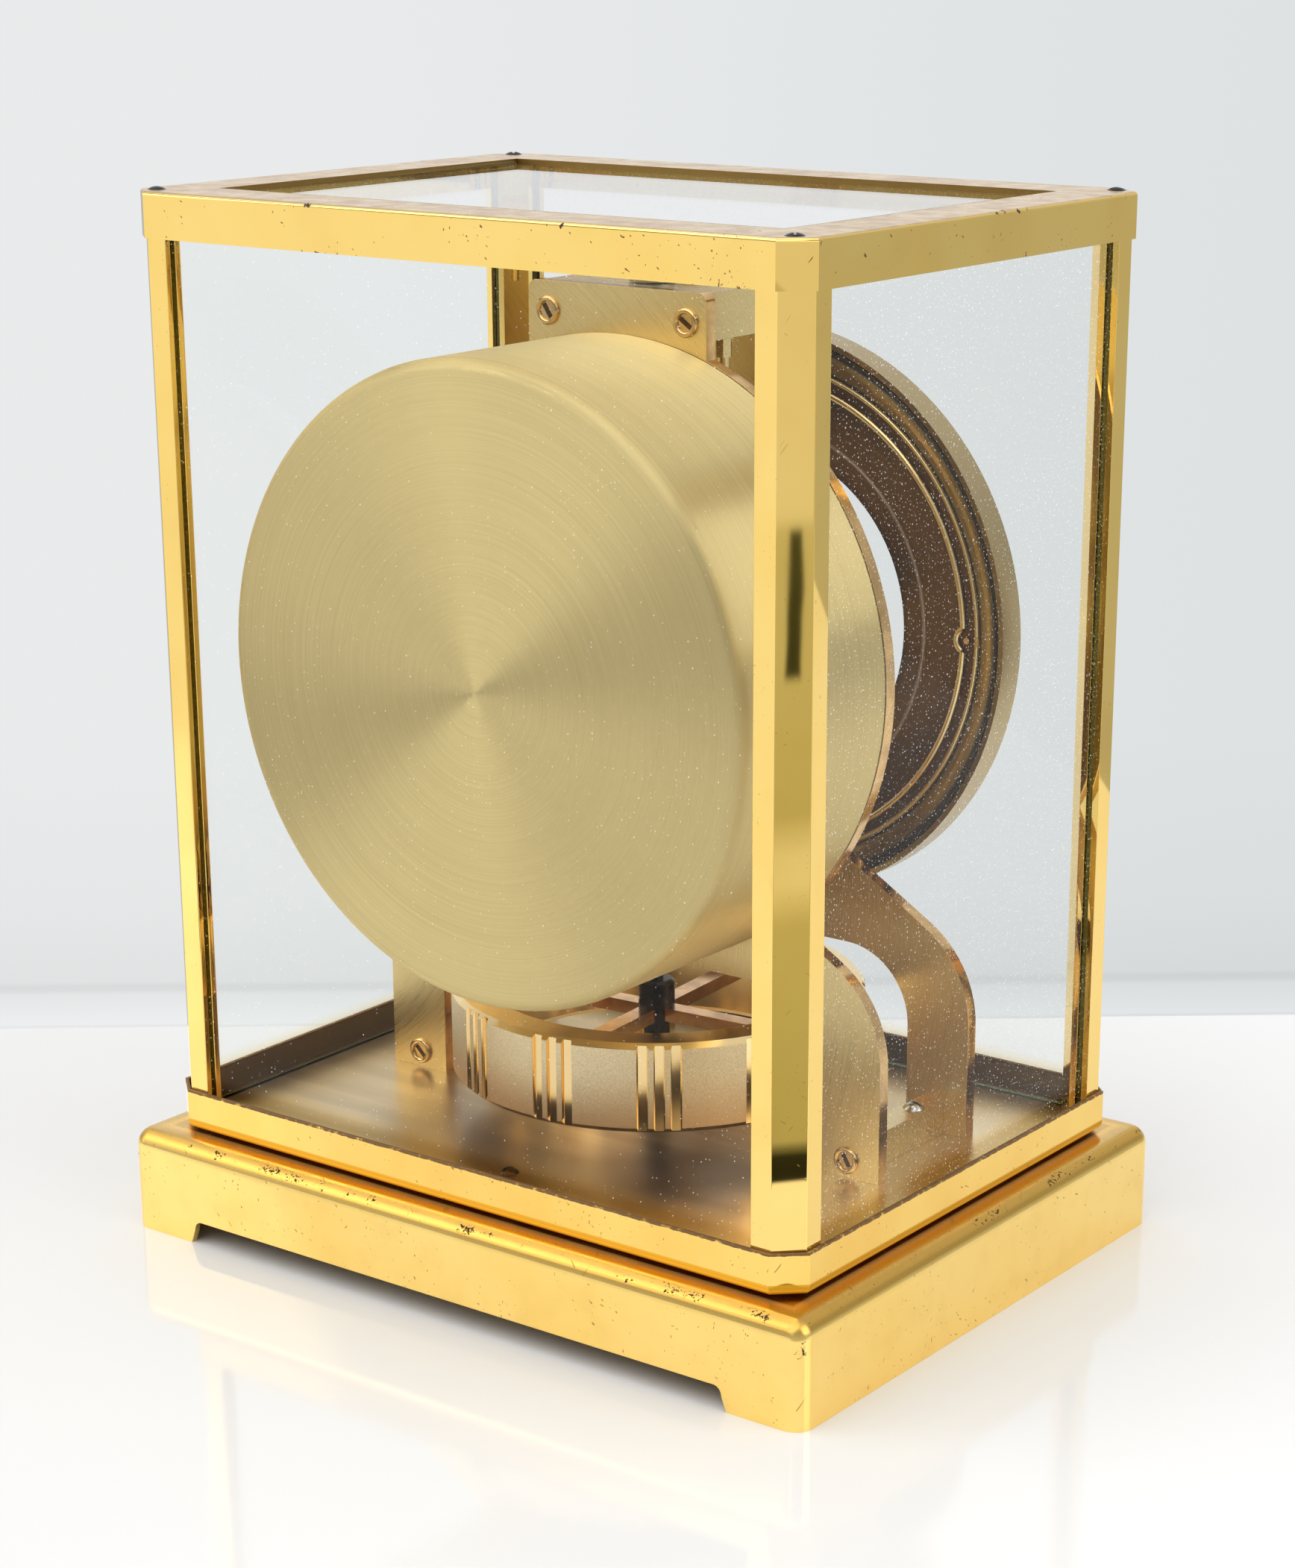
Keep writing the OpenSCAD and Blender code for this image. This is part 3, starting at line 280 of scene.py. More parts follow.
wearSettings = {
    "spotNoise": (5.0, 0.66, 0.3), "level": 0.79, "soft": 0.025, "edgeReach": 0.14,
    "areaShare": 0.11, "patchy": (0.42, 0.68), "leastPatch": 0.35, "stain": (0.45, 0.75),
    "layers": ((0.5, 0.0), (-0.9, 7.0), (1.9, 13.0)),  # turn and shift of the scratches
    "turnShare": (1.0, 0.6, 1.3), "stretch": (1.0, 22.0, 22.0),
    "lineNoise": (70.0, 1.0, 0.4), "line": (0.73, 0.77), "gateNoise": (60.0, 1.0), "gate": (0.52, 0.6),
}


def makeWear(s):  # brown specks that gather at the edges, short scratches and soft stains
    inputs = {"Vector": origin, "Edge": 0.0, "Amount": 0.1, "Scale": 420.0}
    t, i, o = newMask("wear", inputs, "Specks", "Scratches", "Stain")
    spot = noise(t, i["Vector"], i["Scale"], *s["spotNoise"])
    area = noise(t, i["Vector"], times(t, i["Scale"], s["areaShare"]))
    patchy = plus(t, ramp(t, area, *s["patchy"]), s["leastPatch"])
    reach = plus(t, times(t, i["Edge"], s["edgeReach"]), i["Amount"])
    level = minus(t, s["level"], times(t, reach, patchy))
    t.links.new(ramp(t, spot, level, plus(t, level, s["soft"])), o["Specks"])
    t.links.new(ramp(t, area, *s["stain"]), o["Stain"])
    scratches = []
    for turn, shift in s["layers"]:
        turns = tuple(turn * share for share in s["turnShare"])
        placed = make(t, "ShaderNodeMapping", Vector=i["Vector"], Location=(shift,) * 3, Rotation=turns)[0]
        line = noise(t, vectorCalc(t, "MULTIPLY", placed, s["stretch"]), *s["lineNoise"])
        gate = noise(t, placed, *s["gateNoise"])
        scratches.append(times(t, ramp(t, line, *s["line"]), ramp(t, gate, *s["gate"])))
    t.links.new(most(t, *scratches), o["Scratches"])
    return t


def makeBoxEdge():  # closeness to the edges of a box, 1 on an edge
    inputs = {"Vector": origin, "Centre": origin, "Half": (1.0, 1.0, 1.0), "Width": 0.004}
    t, i, o = newMask("boxEdge", inputs, "Value")
    local = vectorCalc(t, "ABSOLUTE", vectorCalc(t, "SUBTRACT", i["Vector"], i["Centre"]))
    gaps = splitXyz(t, vectorCalc(t, "ABSOLUTE", vectorCalc(t, "SUBTRACT", i["Half"], local)))
    second = minus(t, plus(t, *gaps), chain(t, "MINIMUM", *gaps), most(t, *gaps))
    t.links.new(ramp(t, second, 0.0, i["Width"], 1.0, 0.0), o["Value"])
    return t


dustSettings = {
    "areaShare": 0.03, "areaDetail": 3.0, "areaPull": 0.7, "level": 1.42, "soft": 0.03,
    "core": 0.5, "faintest": 0.35,
    "layers": ((1.0, 0.0, 0.10, 0.12), (0.4, 0.22, 0.05, 0.05)),  # scale, rarity, least size, spread
}


def makeDust(s):  # tiny dots in the plane of a pane, thicker in some places
    t, i, o = newMask("dust", {"Vector": origin, "Scale": 900.0, "Amount": 0.3}, "Value")
    area = noise(t, i["Vector"], times(t, i["Scale"], s["areaShare"]), s["areaDetail"])
    dots = []
    for scale, rarity, least, spread in s["layers"]:
        node = t.nodes.new("ShaderNodeTexVoronoi")
        node.voronoi_dimensions = "2D"
        cells = fill(t, node, Vector=i["Vector"], Scale=times(t, i["Scale"], scale))
        pick = splitXyz(t, cells["Color"])
        level = minus(t, s["level"] + rarity, i["Amount"])
        chance = plus(t, pick[0], times(t, area, s["areaPull"]))
        chosen = ramp(t, chance, level, plus(t, level, s["soft"]))
        size = plus(t, times(t, pick[1], pick[1], spread), least)
        dot = ramp(t, cells["Distance"], times(t, size, s["core"]), size, 1.0, 0.0)
        dots.append(times(t, chosen, dot, ramp(t, pick[2], 0.0, 1.0, s["faintest"], 1.0)))
    t.links.new(most(t, *dots), o["Value"])
    return t


turnedGrain = makeTurnedGrain(turnedLayers)
straightGrain = makeStraightGrain(straightLayers)
wear = makeWear(wearSettings)
boxEdge = makeBoxEdge()
dust = makeDust(dustSettings)
print("shader groups ready")


# material helpers

def newMaterial(name):
    mat = bpy.data.materials.new(name)
    mat.use_nodes = True
    t = mat.node_tree
    t.nodes.clear()
    shader = t.nodes.new("ShaderNodeBsdfPrincipled")
    make(t, "ShaderNodeOutputMaterial", Surface=shader.outputs[0])
    return mat, t, shader, make(t, "ShaderNodeTexCoord")["Object"]


def setSurface(t, surface):  # takes the place of the plain shader
    out = [n for n in t.nodes if n.type == "OUTPUT_MATERIAL"][0]
    fill(t, out, Surface=surface)


def bump(t, shader, height, strength, distance):
    normal = make(t, "ShaderNodeBump", Height=height, Strength=strength, Distance=distance)[0]
    fill(t, shader, Normal=normal)


def mixShader(t, factor, a, b):
    node = t.nodes.new("ShaderNodeMixShader")
    feedEach(t, node.inputs, (factor, a, b))
    return node.outputs[0]


def emission(t, color):
    return make(t, "ShaderNodeEmission", Color=color)[0]


def facing(t):  # X, Y and Z of the face's direction
    return splitXyz(t, make(t, "ShaderNodeTexCoord")["Normal"])


def upFacing(t, span=(0.6, 0.9)):  # 1 on faces that look up
    return ramp(t, facing(t)[2], *span)


# polished gilt of the case

giltCommon = {
    "color": (1.0, 0.72, 0.235, 1), "warm": (0.98, 0.68, 0.195, 1), "rough": 0.05,
    "hazeNoise": (35.0, 3.0, 0.55), "hazeSpan": (0.3, 0.75), "hazeRough": 0.03,
    "ripple": 0.5, "rippleNoise": (45.0, 1.0), "bump": (0.25, 0.0005),
    "stain": 0.18, "stainColor": (0.78, 0.50, 0.14, 1),
    "specks": 0.03, "speckScale": 420.0, "speckColor": brown, "speckRough": 0.45, "speckMetal": 0.7,
    "speckDepth": 0.05, "edgeSpecks": 1.0, "edgeWidth": 0.005, "wornFrom": (-0.02, -0.01), "lowWear": 0.25,
    "scratch": 1.0, "scratchColor": (0.30, 0.17, 0.05, 1), "scratchMix": 0.8, "scratchRough": 0.18,
    "scratchDepth": 0.03,
    "topTarnish": 0.0, "topBlotch": (0.3, 0.7), "blotchNoise": (190.0, 5.0, 0.65), "leastBlotch": 0.45,
    # rounded edges get more roughness and a painted darker orange shade
    "edgeRough": 0.0, "edgeShadeColor": (0.66, 0.40, 0.085, 1), "dullSpan": (0.10, 0.90, 0.08),
    "edgeShadeSpan": (0.40, 0.96, 0.14),
    "inset": None, "insetCut": None, "insetColor": (0.24, 0.205, 0.14, 1), "insetRough": 0.35,
    "insetSoft": 0.0001, "cutSpan": (1.06, 1.12),
    "lip": None, "lipDepth": 0.0006, "lipNoise": (700.0, 4.0, 0.6), "lipSoft": 0.00008,
    "lipGrit": (0.25, 0.45),
    # the seam settings paint a glow on the rim's rounded foot and paint its base dark brown as shade
    "seam": None, "seamSide": 0.36, "seamSpecks": 0.8, "seamShade": (0.92, 1.0, 0.9, 0.0),
    "seamTones": (  # light caught by a rounded foot, from its lowest line up
        (0.0, (0.02, 0.002, 0.0, 1)), (0.09, (0.06, 0.010, 0.0, 1)), (0.26, (0.50, 0.19, 0.005, 1)),
        (0.55, (0.68, 0.30, 0.010, 1)), (0.93, (0.76, 0.37, 0.018, 1)), (1.0, black)),
    "under": None, "underSpan": (-0.0034, 0.0026),
    "underTones": (  # the same light on a top, from under the sheet that stands on it outward
        (0.0, black), (0.42, (0.004, 0.001, 0.0, 1)), (0.52, (0.17, 0.090, 0.022, 1)),
        (0.62, (0.18, 0.10, 0.026, 1)), (0.82, (0.05, 0.028, 0.006, 1)), (1.0, black)),
}


def tarnishTop(t, coords, base, rough, s):  # the flat top has lost its polish
    blotch = ramp(t, noise(t, coords, *s["blotchNoise"]), *s["topBlotch"], s["leastBlotch"], 1.0)
    top = times(t, upFacing(t), blotch, s["topTarnish"])
    return mixColor(t, top, base, s["topColor"]), plus(t, rough, times(t, top, s["topRough"]))


def dullAndShadeEdges(t, base, rough, s):  # rounded edges are dulled by handling, and their colour is painted a darker orange as shade that tones down the highlight there
    tilt = facing(t)[2]
    rough = plus(t, rough, times(t, band(t, tilt, *s["dullSpan"]), s["edgeRough"]))
    return mixColor(t, band(t, tilt, *s["edgeShadeSpan"]), base, s["edgeShadeColor"]), rough


def dullInside(t, coords, base, rough, s):  # inner walls are darker and rougher
    sides = [calc(t, "ABSOLUTE", v) for v in splitXyz(t, coords)[:2]]
    inner = times(t, *[ramp(t, v, w - s["insetSoft"], w, 1.0, 0.0) for v, w in zip(sides, s["inset"])])
    if s["insetCut"]:  # the cut corners stay bright
        reach = [calc(t, "DIVIDE", minus(t, h, v), c) for h, v, c in zip(s["half"], sides, s["insetCut"])]
        inner = times(t, inner, ramp(t, plus(t, *reach), *s["cutSpan"]))
    return mixColor(t, inner, base, s["insetColor"]), plus(t, rough, times(t, inner, s["insetRough"]))


def rawLip(t, coords, s):  # raw upper edge of the sheet
    grit = noise(t, coords, *s["lipNoise"])
    low = minus(t, s["lip"], times(t, grit, s["lipDepth"]))
    raw = ramp(t, splitXyz(t, coords)[2], minus(t, low, s["lipSoft"]), low)
    return times(t, raw, ramp(t, grit, *s["lipGrit"]))


def climbIn(t, value, span):  # 0 at the low end of a span, 1 at its high end
    low, high = span
    return calc(t, "DIVIDE", minus(t, value, low), high - low)


def seamGlow(t, coords, base, cover, s):  # painted glow of light caught between two bright sheets, over a base painted dark brown as shade at the foot
    climb = climbIn(t, splitXyz(t, coords)[2], s["seam"])
    glow = mixColor(t, times(t, cover, s["seamSpecks"]), colorRamp(t, climb, s["seamTones"]), black)
    aside = times(t, calc(t, "ABSOLUTE", facing(t)[0]), s["seamSide"])
    return mixColor(t, ramp(t, climb, *s["seamShade"]), base, brown), mixColor(t, aside, glow, black)


def underGlow(t, coords, s):  # light caught under the sheet that stands on this one
    sides = splitXyz(t, coords)[:2]
    out = [minus(t, calc(t, "ABSOLUTE", v), h) for v, h in zip(sides, s["under"])]
    climb = climbIn(t, most(t, *out), s["underSpan"])
    return mixColor(t, upFacing(t), black, colorRamp(t, climb, s["underTones"]))


def polishedGilt(name, nodeNames, changes):  # mirror gilt, worn along the edges of its box
    centre, half = boxOf(*nodeNames)
    s = {**giltCommon, "half": half, **changes}
    mat, t, shader, coords = newMaterial(name)
    edge = useGroup(t, boxEdge, Vector=coords, Centre=centre, Half=half, Width=s["edgeWidth"])["Value"]
    wornShare = (s["edgeSpecks"] * s["lowWear"], s["edgeSpecks"])
    worn = times(t, edge, ramp(t, splitXyz(t, coords)[2], *s["wornFrom"], *wornShare))
    marks = useGroup(t, wear, Vector=coords, Edge=worn, Amount=s["specks"], Scale=s["speckScale"])
    haze = noise(t, coords, *s["hazeNoise"])
    base = mixColor(t, ramp(t, haze, *s["hazeSpan"]), s["color"], s["warm"])
    base = mixColor(t, times(t, marks["Stain"], s["stain"]), base, s["stainColor"])
    rough = plus(t, s["rough"], times(t, haze, s["hazeRough"]))
    if s["topTarnish"]:
        base, rough = tarnishTop(t, coords, base, rough, s)
    if s["edgeRough"]:
        base, rough = dullAndShadeEdges(t, base, rough, s)
    if s["inset"]:
        base, rough = dullInside(t, coords, base, rough, s)
    cover = marks["Specks"]
    if s["lip"]:
        cover = most(t, cover, rawLip(t, coords, s))
    lines = times(t, marks["Scratches"], s["scratch"])
    base = mixColor(t, times(t, lines, s["scratchMix"]), base, s["scratchColor"])
    base = mixColor(t, cover, base, s["speckColor"])
    glow = None
    if s["seam"]:
        base, glow = seamGlow(t, coords, base, cover, s)
    if s["under"]:
        glow = underGlow(t, coords, s)
    if glow:
        fill(t, shader, Emission_Color=glow, Emission_Strength=1.0)
    rough = plus(t, rough, times(t, cover, s["speckRough"]), times(t, lines, s["scratchRough"]))
    metal = minus(t, 1.0, times(t, cover, s["speckMetal"]))
    fill(t, shader, Base_Color=base, Roughness=rough, Metallic=metal)
    waves = times(t, noise(t, coords, *s["rippleNoise"]), s["ripple"])
    height = minus(t, waves, times(t, lines, s["scratchDepth"]), times(t, cover, s["speckDepth"]))
    bump(t, shader, height, *s["bump"])
    return mat


# brushed and turned metal

grainCommon = {
    "shares": (0.65, 0.15, 0.2),  # of fine lines, broad lines and clouds in the tone
    "toneSpan": (0.25, 0.75), "cloudNoise": (45.0, 3.0), "bump": 0.1, "bumpDepth": 0.0001,
    "specks": 0.05, "speckScale": 420.0, "speckMix": 0.7, "scratchMix": 0.0,
    "stretch": None, "shade": None, "shadeMost": 0.92, "contactShadeY": None, "contactShadeHeight": 0.0005, "contactShadeMost": 0.9,
    "anisotropy": 0.0, "acrossLines": 0.25,
}


def shadeRoundRing(t, coords, base, s):  # painted shadow round the ring, and a painted lighter tone on one side
    x, y = splitXyz(t, coords)[:2]
    near = band(t, radiusAbout(t, coords, s["shadeCentre"], "Z"), *s["shade"])
    side = ramp(t, y, *s["shadeSide"], 0.0, s["shadeMost"])
    shade = times(t, near, side, ramp(t, x, *s["shadeLeft"], 1.0, 0.0))
    base = mixColor(t, ramp(t, x, *s["paintedLightSide"], 1.0, 0.0), base, s["paintedLightColor"])
    return mixColor(t, shade, base, s["shadeColor"])


def grainedMetal(name, changes):  # grain along one direction, or else round a line along Y
    s = {**grainCommon, **changes}
    mat, t, shader, coords = newMaterial(name)
    if s["stretch"]:
        grain = useGroup(t, straightGrain, Vector=coords, Stretch=s["stretch"], Scale=s["scale"])
    else:
        local = vectorCalc(t, "SUBTRACT", coords, s["centre"])
        grain = useGroup(t, turnedGrain, Vector=local, Density=s["density"], Wander=s["wander"])
    layers = (grain["Fine"], grain["Coarse"], noise(t, coords, *s["cloudNoise"]))
    mixed = plus(t, *[times(t, layer, share) for layer, share in zip(layers, s["shares"])])
    marks = useGroup(t, wear, Vector=coords, Amount=s["specks"], Scale=s["speckScale"])
    base = mixColor(t, ramp(t, mixed, *s["toneSpan"]), s["dark"], s["light"])
    base = mixColor(t, times(t, marks["Specks"], s["speckMix"]), base, brown)
    base = mixColor(t, times(t, marks["Scratches"], s["scratchMix"]), base, s["light"])
    if s["shade"]:
        base = shadeRoundRing(t, coords, base, s)
    if s["contactShadeY"]:  # painted contact shade against the plate
        span = (s["contactShadeY"], s["contactShadeY"] + s["contactShadeHeight"])
        base = mixColor(t, ramp(t, splitXyz(t, coords)[1], *span, s["contactShadeMost"], 0.0), base, brown)
    rough = ramp(t, grain["Fine"], *s["toneSpan"], *s["rough"])
    fill(t, shader, Base_Color=base, Metallic=1.0, Roughness=rough)
    if s["anisotropy"]:
        tangent = t.nodes.new("ShaderNodeTangent")
        tangent.direction_type = "RADIAL"
        tangent.axis = "Y"
        fill(t, shader, Anisotropic=s["anisotropy"], Anisotropic_Rotation=s["acrossLines"],
             Tangent=tangent.outputs[0])
    bump(t, shader, grain["Fine"], s["bump"], s["bumpDepth"])
    return mat


plainSettings = {
    "cloudNoise": (220.0, 4.0, 0.6), "cloudSpan": (0.35, 0.7), "cloudShade": 0.75,
    "roughSpan": (0.3, 0.7), "roughShare": (0.8, 1.25), "bump": (0.05, 0.0001),
}


def plainMetal(name, color, rough, s=plainSettings):
    mat, t, shader, coords = newMaterial(name)
    cloud = noise(t, coords, *s["cloudNoise"])
    shade = tuple(c * s["cloudShade"] for c in color[:3]) + (1,)
    base = mixColor(t, ramp(t, cloud, *s["cloudSpan"]), color, shade)
    cloudRough = ramp(t, cloud, *s["roughSpan"], *[rough * share for share in s["roughShare"]])
    fill(t, shader, Base_Color=base, Metallic=1.0, Roughness=cloudRough)
    bump(t, shader, cloud, *s["bump"])
    return mat


# pendulum ring and dial

ringSettings = {
    "centre": (0, pendulumY, 0), "outerR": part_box("pendulum_ring")[1][0] - 0.00008, "outerSoft": 0.00004,
    "frostDark": (0.80, 0.62, 0.36, 1), "frostLight": (1.0, 0.84, 0.55, 1), "polish": (1.0, 0.73, 0.35, 1),
    "sandNoise": (2800.0, 3.0, 0.7), "sandSpan": (0.3, 0.7), "cloudNoise": (60.0, 3.0), "cloudMix": 0.3,
    "frostRough": (0.2, 0.8, 0.35, 0.55), "polishRough": 0.12, "bump": (0.35, 0.0002),
    "bottomTone": (0.66, 0.37, 0.16, 1), "bottomMost": 0.75,
    "bottomFrom": (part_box("pendulum_ring")[0][2], middle("pendulum_ring")[2] + 0.004),
}


def frostedRing(name, s):  # sanded outer wall, the flutes and chamfers polished
    mat, t, shader, coords = newMaterial(name)
    radius = radiusAbout(t, coords, s["centre"], "Z")
    frost = ramp(t, radius, s["outerR"] - s["outerSoft"], s["outerR"])
    sand = noise(t, coords, *s["sandNoise"])
    cloud = noise(t, coords, *s["cloudNoise"])
    sanded = mixColor(t, ramp(t, sand, *s["sandSpan"]), s["frostDark"], s["frostLight"])
    low = ramp(t, splitXyz(t, coords)[2], *s["bottomFrom"], s["bottomMost"], 0.0)
    sanded = mixColor(t, low, sanded, s["bottomTone"])  # darker and rosier towards the bottom
    polished = mixColor(t, times(t, cloud, s["cloudMix"]), s["polish"], s["frostDark"])
    rough = ramp(t, frost, 0.0, 1.0, s["polishRough"], ramp(t, sand, *s["frostRough"]))
    fill(t, shader, Base_Color=mixColor(t, frost, polished, sanded), Metallic=1.0, Roughness=rough)
    bump(t, shader, times(t, sand, frost), *s["bump"])
    return mat


dialSettings = {
    "centre": (0, 0, axisZ), "span": 0.07, "density": 2400.0, "wander": 2.0,
    "step": (-0.04518, -0.04512), "bead": (0.0530, 0.0531), "ridge": (0.0542, 0.05495, 0.0001),
    "outer": (0.0558, 0.0564),
    # the brown and deep tones are painted dark reflections on the bare brass dial; deep also darkens the
    # turned lines
    "brown": (0.20, 0.105, 0.032, 1), "deep": (0.032, 0.019, 0.010, 1), "gold": (1.0, 0.76, 0.36, 1),
    "cove": (0.62, 0.45, 0.19, 1), "scribe": (0.62, 0.48, 0.42, 1), "hoop": (0.54, 0.41, 0.21, 1),
    "rings": (  # tone of the rear side by radius in millimetres
        (35.0, "deep"), (38.0, "brown"), (41.2, "brown"), (41.4, "scribe"), (41.8, "scribe"),
        (42.0, "brown"), (53.9, "brown"), (54.2, "gold"), (54.95, "gold"), (55.1, "deep"), (55.4, "deep"),
        (56.2, "cove"), (57.6, "cove"), (59.6, "deep"), (61.6, "deep"), (62.0, "hoop")),
    "lineSpan": (0.3, 0.75), "lineMix": (0.25, 0.05),  # pairs are for the painted dark reflection and for bright metal
    "rough": (0.38, 0.28), "metal": (0.9, 1.0), "bump": (0.06, 0.0001),
}


def dialMetal(name, s):  # dark brown painted reflection on bare brass, with bright ridges, told apart by radius and depth
    mat, t, shader, coords = newMaterial(name)
    radius = radiusAbout(t, coords, s["centre"], "Y")
    local = vectorCalc(t, "SUBTRACT", coords, s["centre"])
    grain = useGroup(t, turnedGrain, Vector=local, Density=s["density"], Wander=s["wander"])
    base = spanRamp(t, radius, s["span"], [(r * mm, s[tone]) for r, tone in s["rings"]])
    behind = ramp(t, splitXyz(t, coords)[1], *s["step"])
    raised = times(t, behind, ramp(t, radius, *s["bead"], 1.0, 0.0))
    bright = most(t, raised, band(t, radius, *s["ridge"]), ramp(t, radius, *s["outer"]))
    base = mixColor(t, raised, base, s["gold"])
    lines = times(t, ramp(t, grain["Fine"], *s["lineSpan"]), ramp(t, bright, 0.0, 1.0, *s["lineMix"]))
    base = mixColor(t, lines, base, s["deep"])
    rough = ramp(t, bright, 0.0, 1.0, *s["rough"])
    fill(t, shader, Base_Color=base, Roughness=rough, Metallic=ramp(t, bright, 0.0, 1.0, *s["metal"]))
    bump(t, shader, grain["Fine"], *s["bump"])
    return mat


# glass and stone

def thinSide(nodeName):  # which of X, Y and Z a pane is thin along
    low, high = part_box(nodeName)
    sizes = [b - a for a, b in zip(low, high)]
    return sizes.index(min(sizes))


paneSettings = {
    "tint": (0.985, 0.995, 0.99, 1), "clear": (0.97, 0.985, 0.98, 1), "ior": 1.16,
    "dustScale": 1000.0, "dustColor": (0.30, 0.30, 0.29, 1), "dustGlow": (0.62, 0.62, 0.60, 1),
    "dustRough": 0.4, "faceSoft": 0.0002, "smearNoise": (30.0, 4.0, 0.6), "smear": (0.5, 0.8, 0.0, 0.015),
    "footHeight": 0.0042, "footTones": (  # painted reflection of the rim, low in an upright pane
        (0.0, (0.80, 0.71, 0.50, 1)), (0.35, (0.88, 0.79, 0.60, 1)), (0.62, (0.98, 0.94, 0.80, 1))),
}


def paneGlass(name, nodeName, changes):
    s = {**paneSettings, **changes}
    mat, t, shader, coords = newMaterial(name)
    thin = thinSide(nodeName)
    sides = splitXyz(t, coords)
    climb = calc(t, "DIVIDE", minus(t, sides[2], rimTop), s["footHeight"])
    tint = colorRamp(t, climb, [*s["footTones"], (1.0, s["tint"])])
    core = abs(middle(nodeName)[thin])
    depth = calc(t, "ABSOLUTE", sides.pop(thin))
    outside = ramp(t, depth, core - s["faceSoft"], core + s["faceSoft"])
    flat = joinXyz(t, *sides, 0.0)
    specks = useGroup(t, dust, Vector=flat, Scale=s["dustScale"], Amount=s["dust"])["Value"]
    specks = times(t, specks, outside)
    smear = ramp(t, noise(t, coords, *s["smearNoise"]), *s["smear"])
    # the dust specks glow, a painted highlight of the light they catch
    fill(t, shader, Base_Color=mixColor(t, specks, tint, s["dustColor"]), Transmission_Weight=1.0,
         IOR=s["ior"], Roughness=plus(t, times(t, specks, s["dustRough"]), smear),
         Emission_Color=mixColor(t, specks, black, s["dustGlow"]), Emission_Strength=1.0)
    rays = make(t, "ShaderNodeLightPath")
    light = most(t, rays["Is Shadow Ray"], rays["Is Diffuse Ray"])  # light passes straight
    clear = make(t, "ShaderNodeBsdfTransparent", Color=s["clear"])[0]
    setSurface(t, mixShader(t, light, shader.outputs[0], clear))
    return mat


groundSettings = {
    "noise": (900.0, 3.0, 0.6), "dark": (0.16, 0.21, 0.16, 1), "light": (0.36, 0.45, 0.37, 1),
    "rough": (0.2, 0.8, 0.15, 0.4),
}


def paneEdge(name, s):  # ground rim of a pane
    mat, t, shader, coords = newMaterial(name)
    frost = noise(t, coords, *s["noise"])
    base = mixColor(t, frost, s["dark"], s["light"])
    fill(t, shader, Base_Color=base, Roughness=ramp(t, frost, *s["rough"]))
    return mat


levelSettings = {
    "centre": middle("level_glass"), "bubble": (0.0007, -0.0005, 0), "span": 0.006,
    "rings": (  # tone by distance from the bubble's middle, in millimetres
        (0.0, (0.80, 0.86, 0.50, 1)), (1.35, (0.70, 0.78, 0.38, 1)), (1.55, (0.20, 0.26, 0.03, 1)),
        (1.75, (0.52, 0.62, 0.13, 1)), (6.0, (0.40, 0.50, 0.08, 1))),
    "mark": (0.00235, 0.0026, 0.00006), "markColor": (0.03, 0.035, 0.01, 1),
    "cloudNoise": (300.0, 3.0), "cloudMix": 0.25, "cloudColor": (0.3, 0.4, 0.05, 1),
    "rough": 0.06, "coat": 1.0,
}


def spiritLevel(name, s):  # green spirit with its bubble and a circle to centre it in
    mat, t, shader, coords = newMaterial(name)
    bubble = tuple(c + b for c, b in zip(s["centre"], s["bubble"]))
    rings = [(r * mm, color) for r, color in s["rings"]]
    base = spanRamp(t, radiusAbout(t, coords, bubble, "Z"), s["span"], rings)
    mark = band(t, radiusAbout(t, coords, s["centre"], "Z"), *s["mark"])
    cloud = times(t, noise(t, coords, *s["cloudNoise"]), s["cloudMix"])
    base = mixColor(t, cloud, mixColor(t, mark, base, s["markColor"]), s["cloudColor"])
    fill(t, shader, Base_Color=base, Roughness=s["rough"], Coat_Weight=s["coat"])
    return mat


rubySettings = {
    "noise": (900.0, 3.0), "dark": (0.30, 0.01, 0.04, 1), "light": (0.62, 0.05, 0.12, 1),
    "rough": 0.08, "coat": 0.6,
}


def ruby(name, s):
    mat, t, shader, coords = newMaterial(name)
    base = mixColor(t, noise(t, coords, *s["noise"]), s["dark"], s["light"])
    fill(t, shader, Base_Color=base, Roughness=s["rough"], Coat_Weight=s["coat"])
    return mat


# materials

postNodes = ["post_rear_left", "post_rear_right", "post_front_left", "post_front_right"]
plinthGilt = {
    "topTarnish": 1.0, "topColor": (0.80, 0.54, 0.20, 1), "topRough": 0.26, "edgeSpecks": 1.7,
    "wornFrom": (0.012, 0.018), "speckScale": 1300.0, "edgeRough": 0.2, "under": rimHalf[:2],
}
rimWall = 0.0006
rimGilt = {
    "color": (1.0, 0.69, 0.19, 1), "warm": (0.96, 0.60, 0.14, 1), "edgeWidth": 0.003, "specks": 0.05,
    "lip": rimTop - 0.0001, "speckColor": (0.20, 0.105, 0.035, 1), "seam": (rimLow, rimLow + 0.0026),
    "inset": (rimHalf[0] - rimWall, rimHalf[1] - rimWall), "insetCut": (0.00597, 0.00535),
}
postGilt = {"edgeSpecks": 0.3, "ripple": 0.3, "scratch": 0.3, "rough": 0.015}
capGilt = {
    "topTarnish": 1.0, "topColor": (0.60, 0.41, 0.25, 1), "topRough": 0.25, "scratch": 1.4,
    "edgeWidth": 0.003, "inset": (capHalf[0] - 0.0134, capHalf[1] - 0.0138),
    "insetColor": (0.30, 0.185, 0.055, 1),
}
giltPlinth = polishedGilt("giltPlinth", ["plinth"], plinthGilt)
giltRim = polishedGilt("giltRim", ["rim"], rimGilt)
giltPosts = polishedGilt("giltPosts", postNodes, postGilt)
giltCap = polishedGilt("giltCap", ["cap"], capGilt)
giltTrim = polishedGilt("giltTrim", ["lock_lever"], {"edgeSpecks": 0.2})

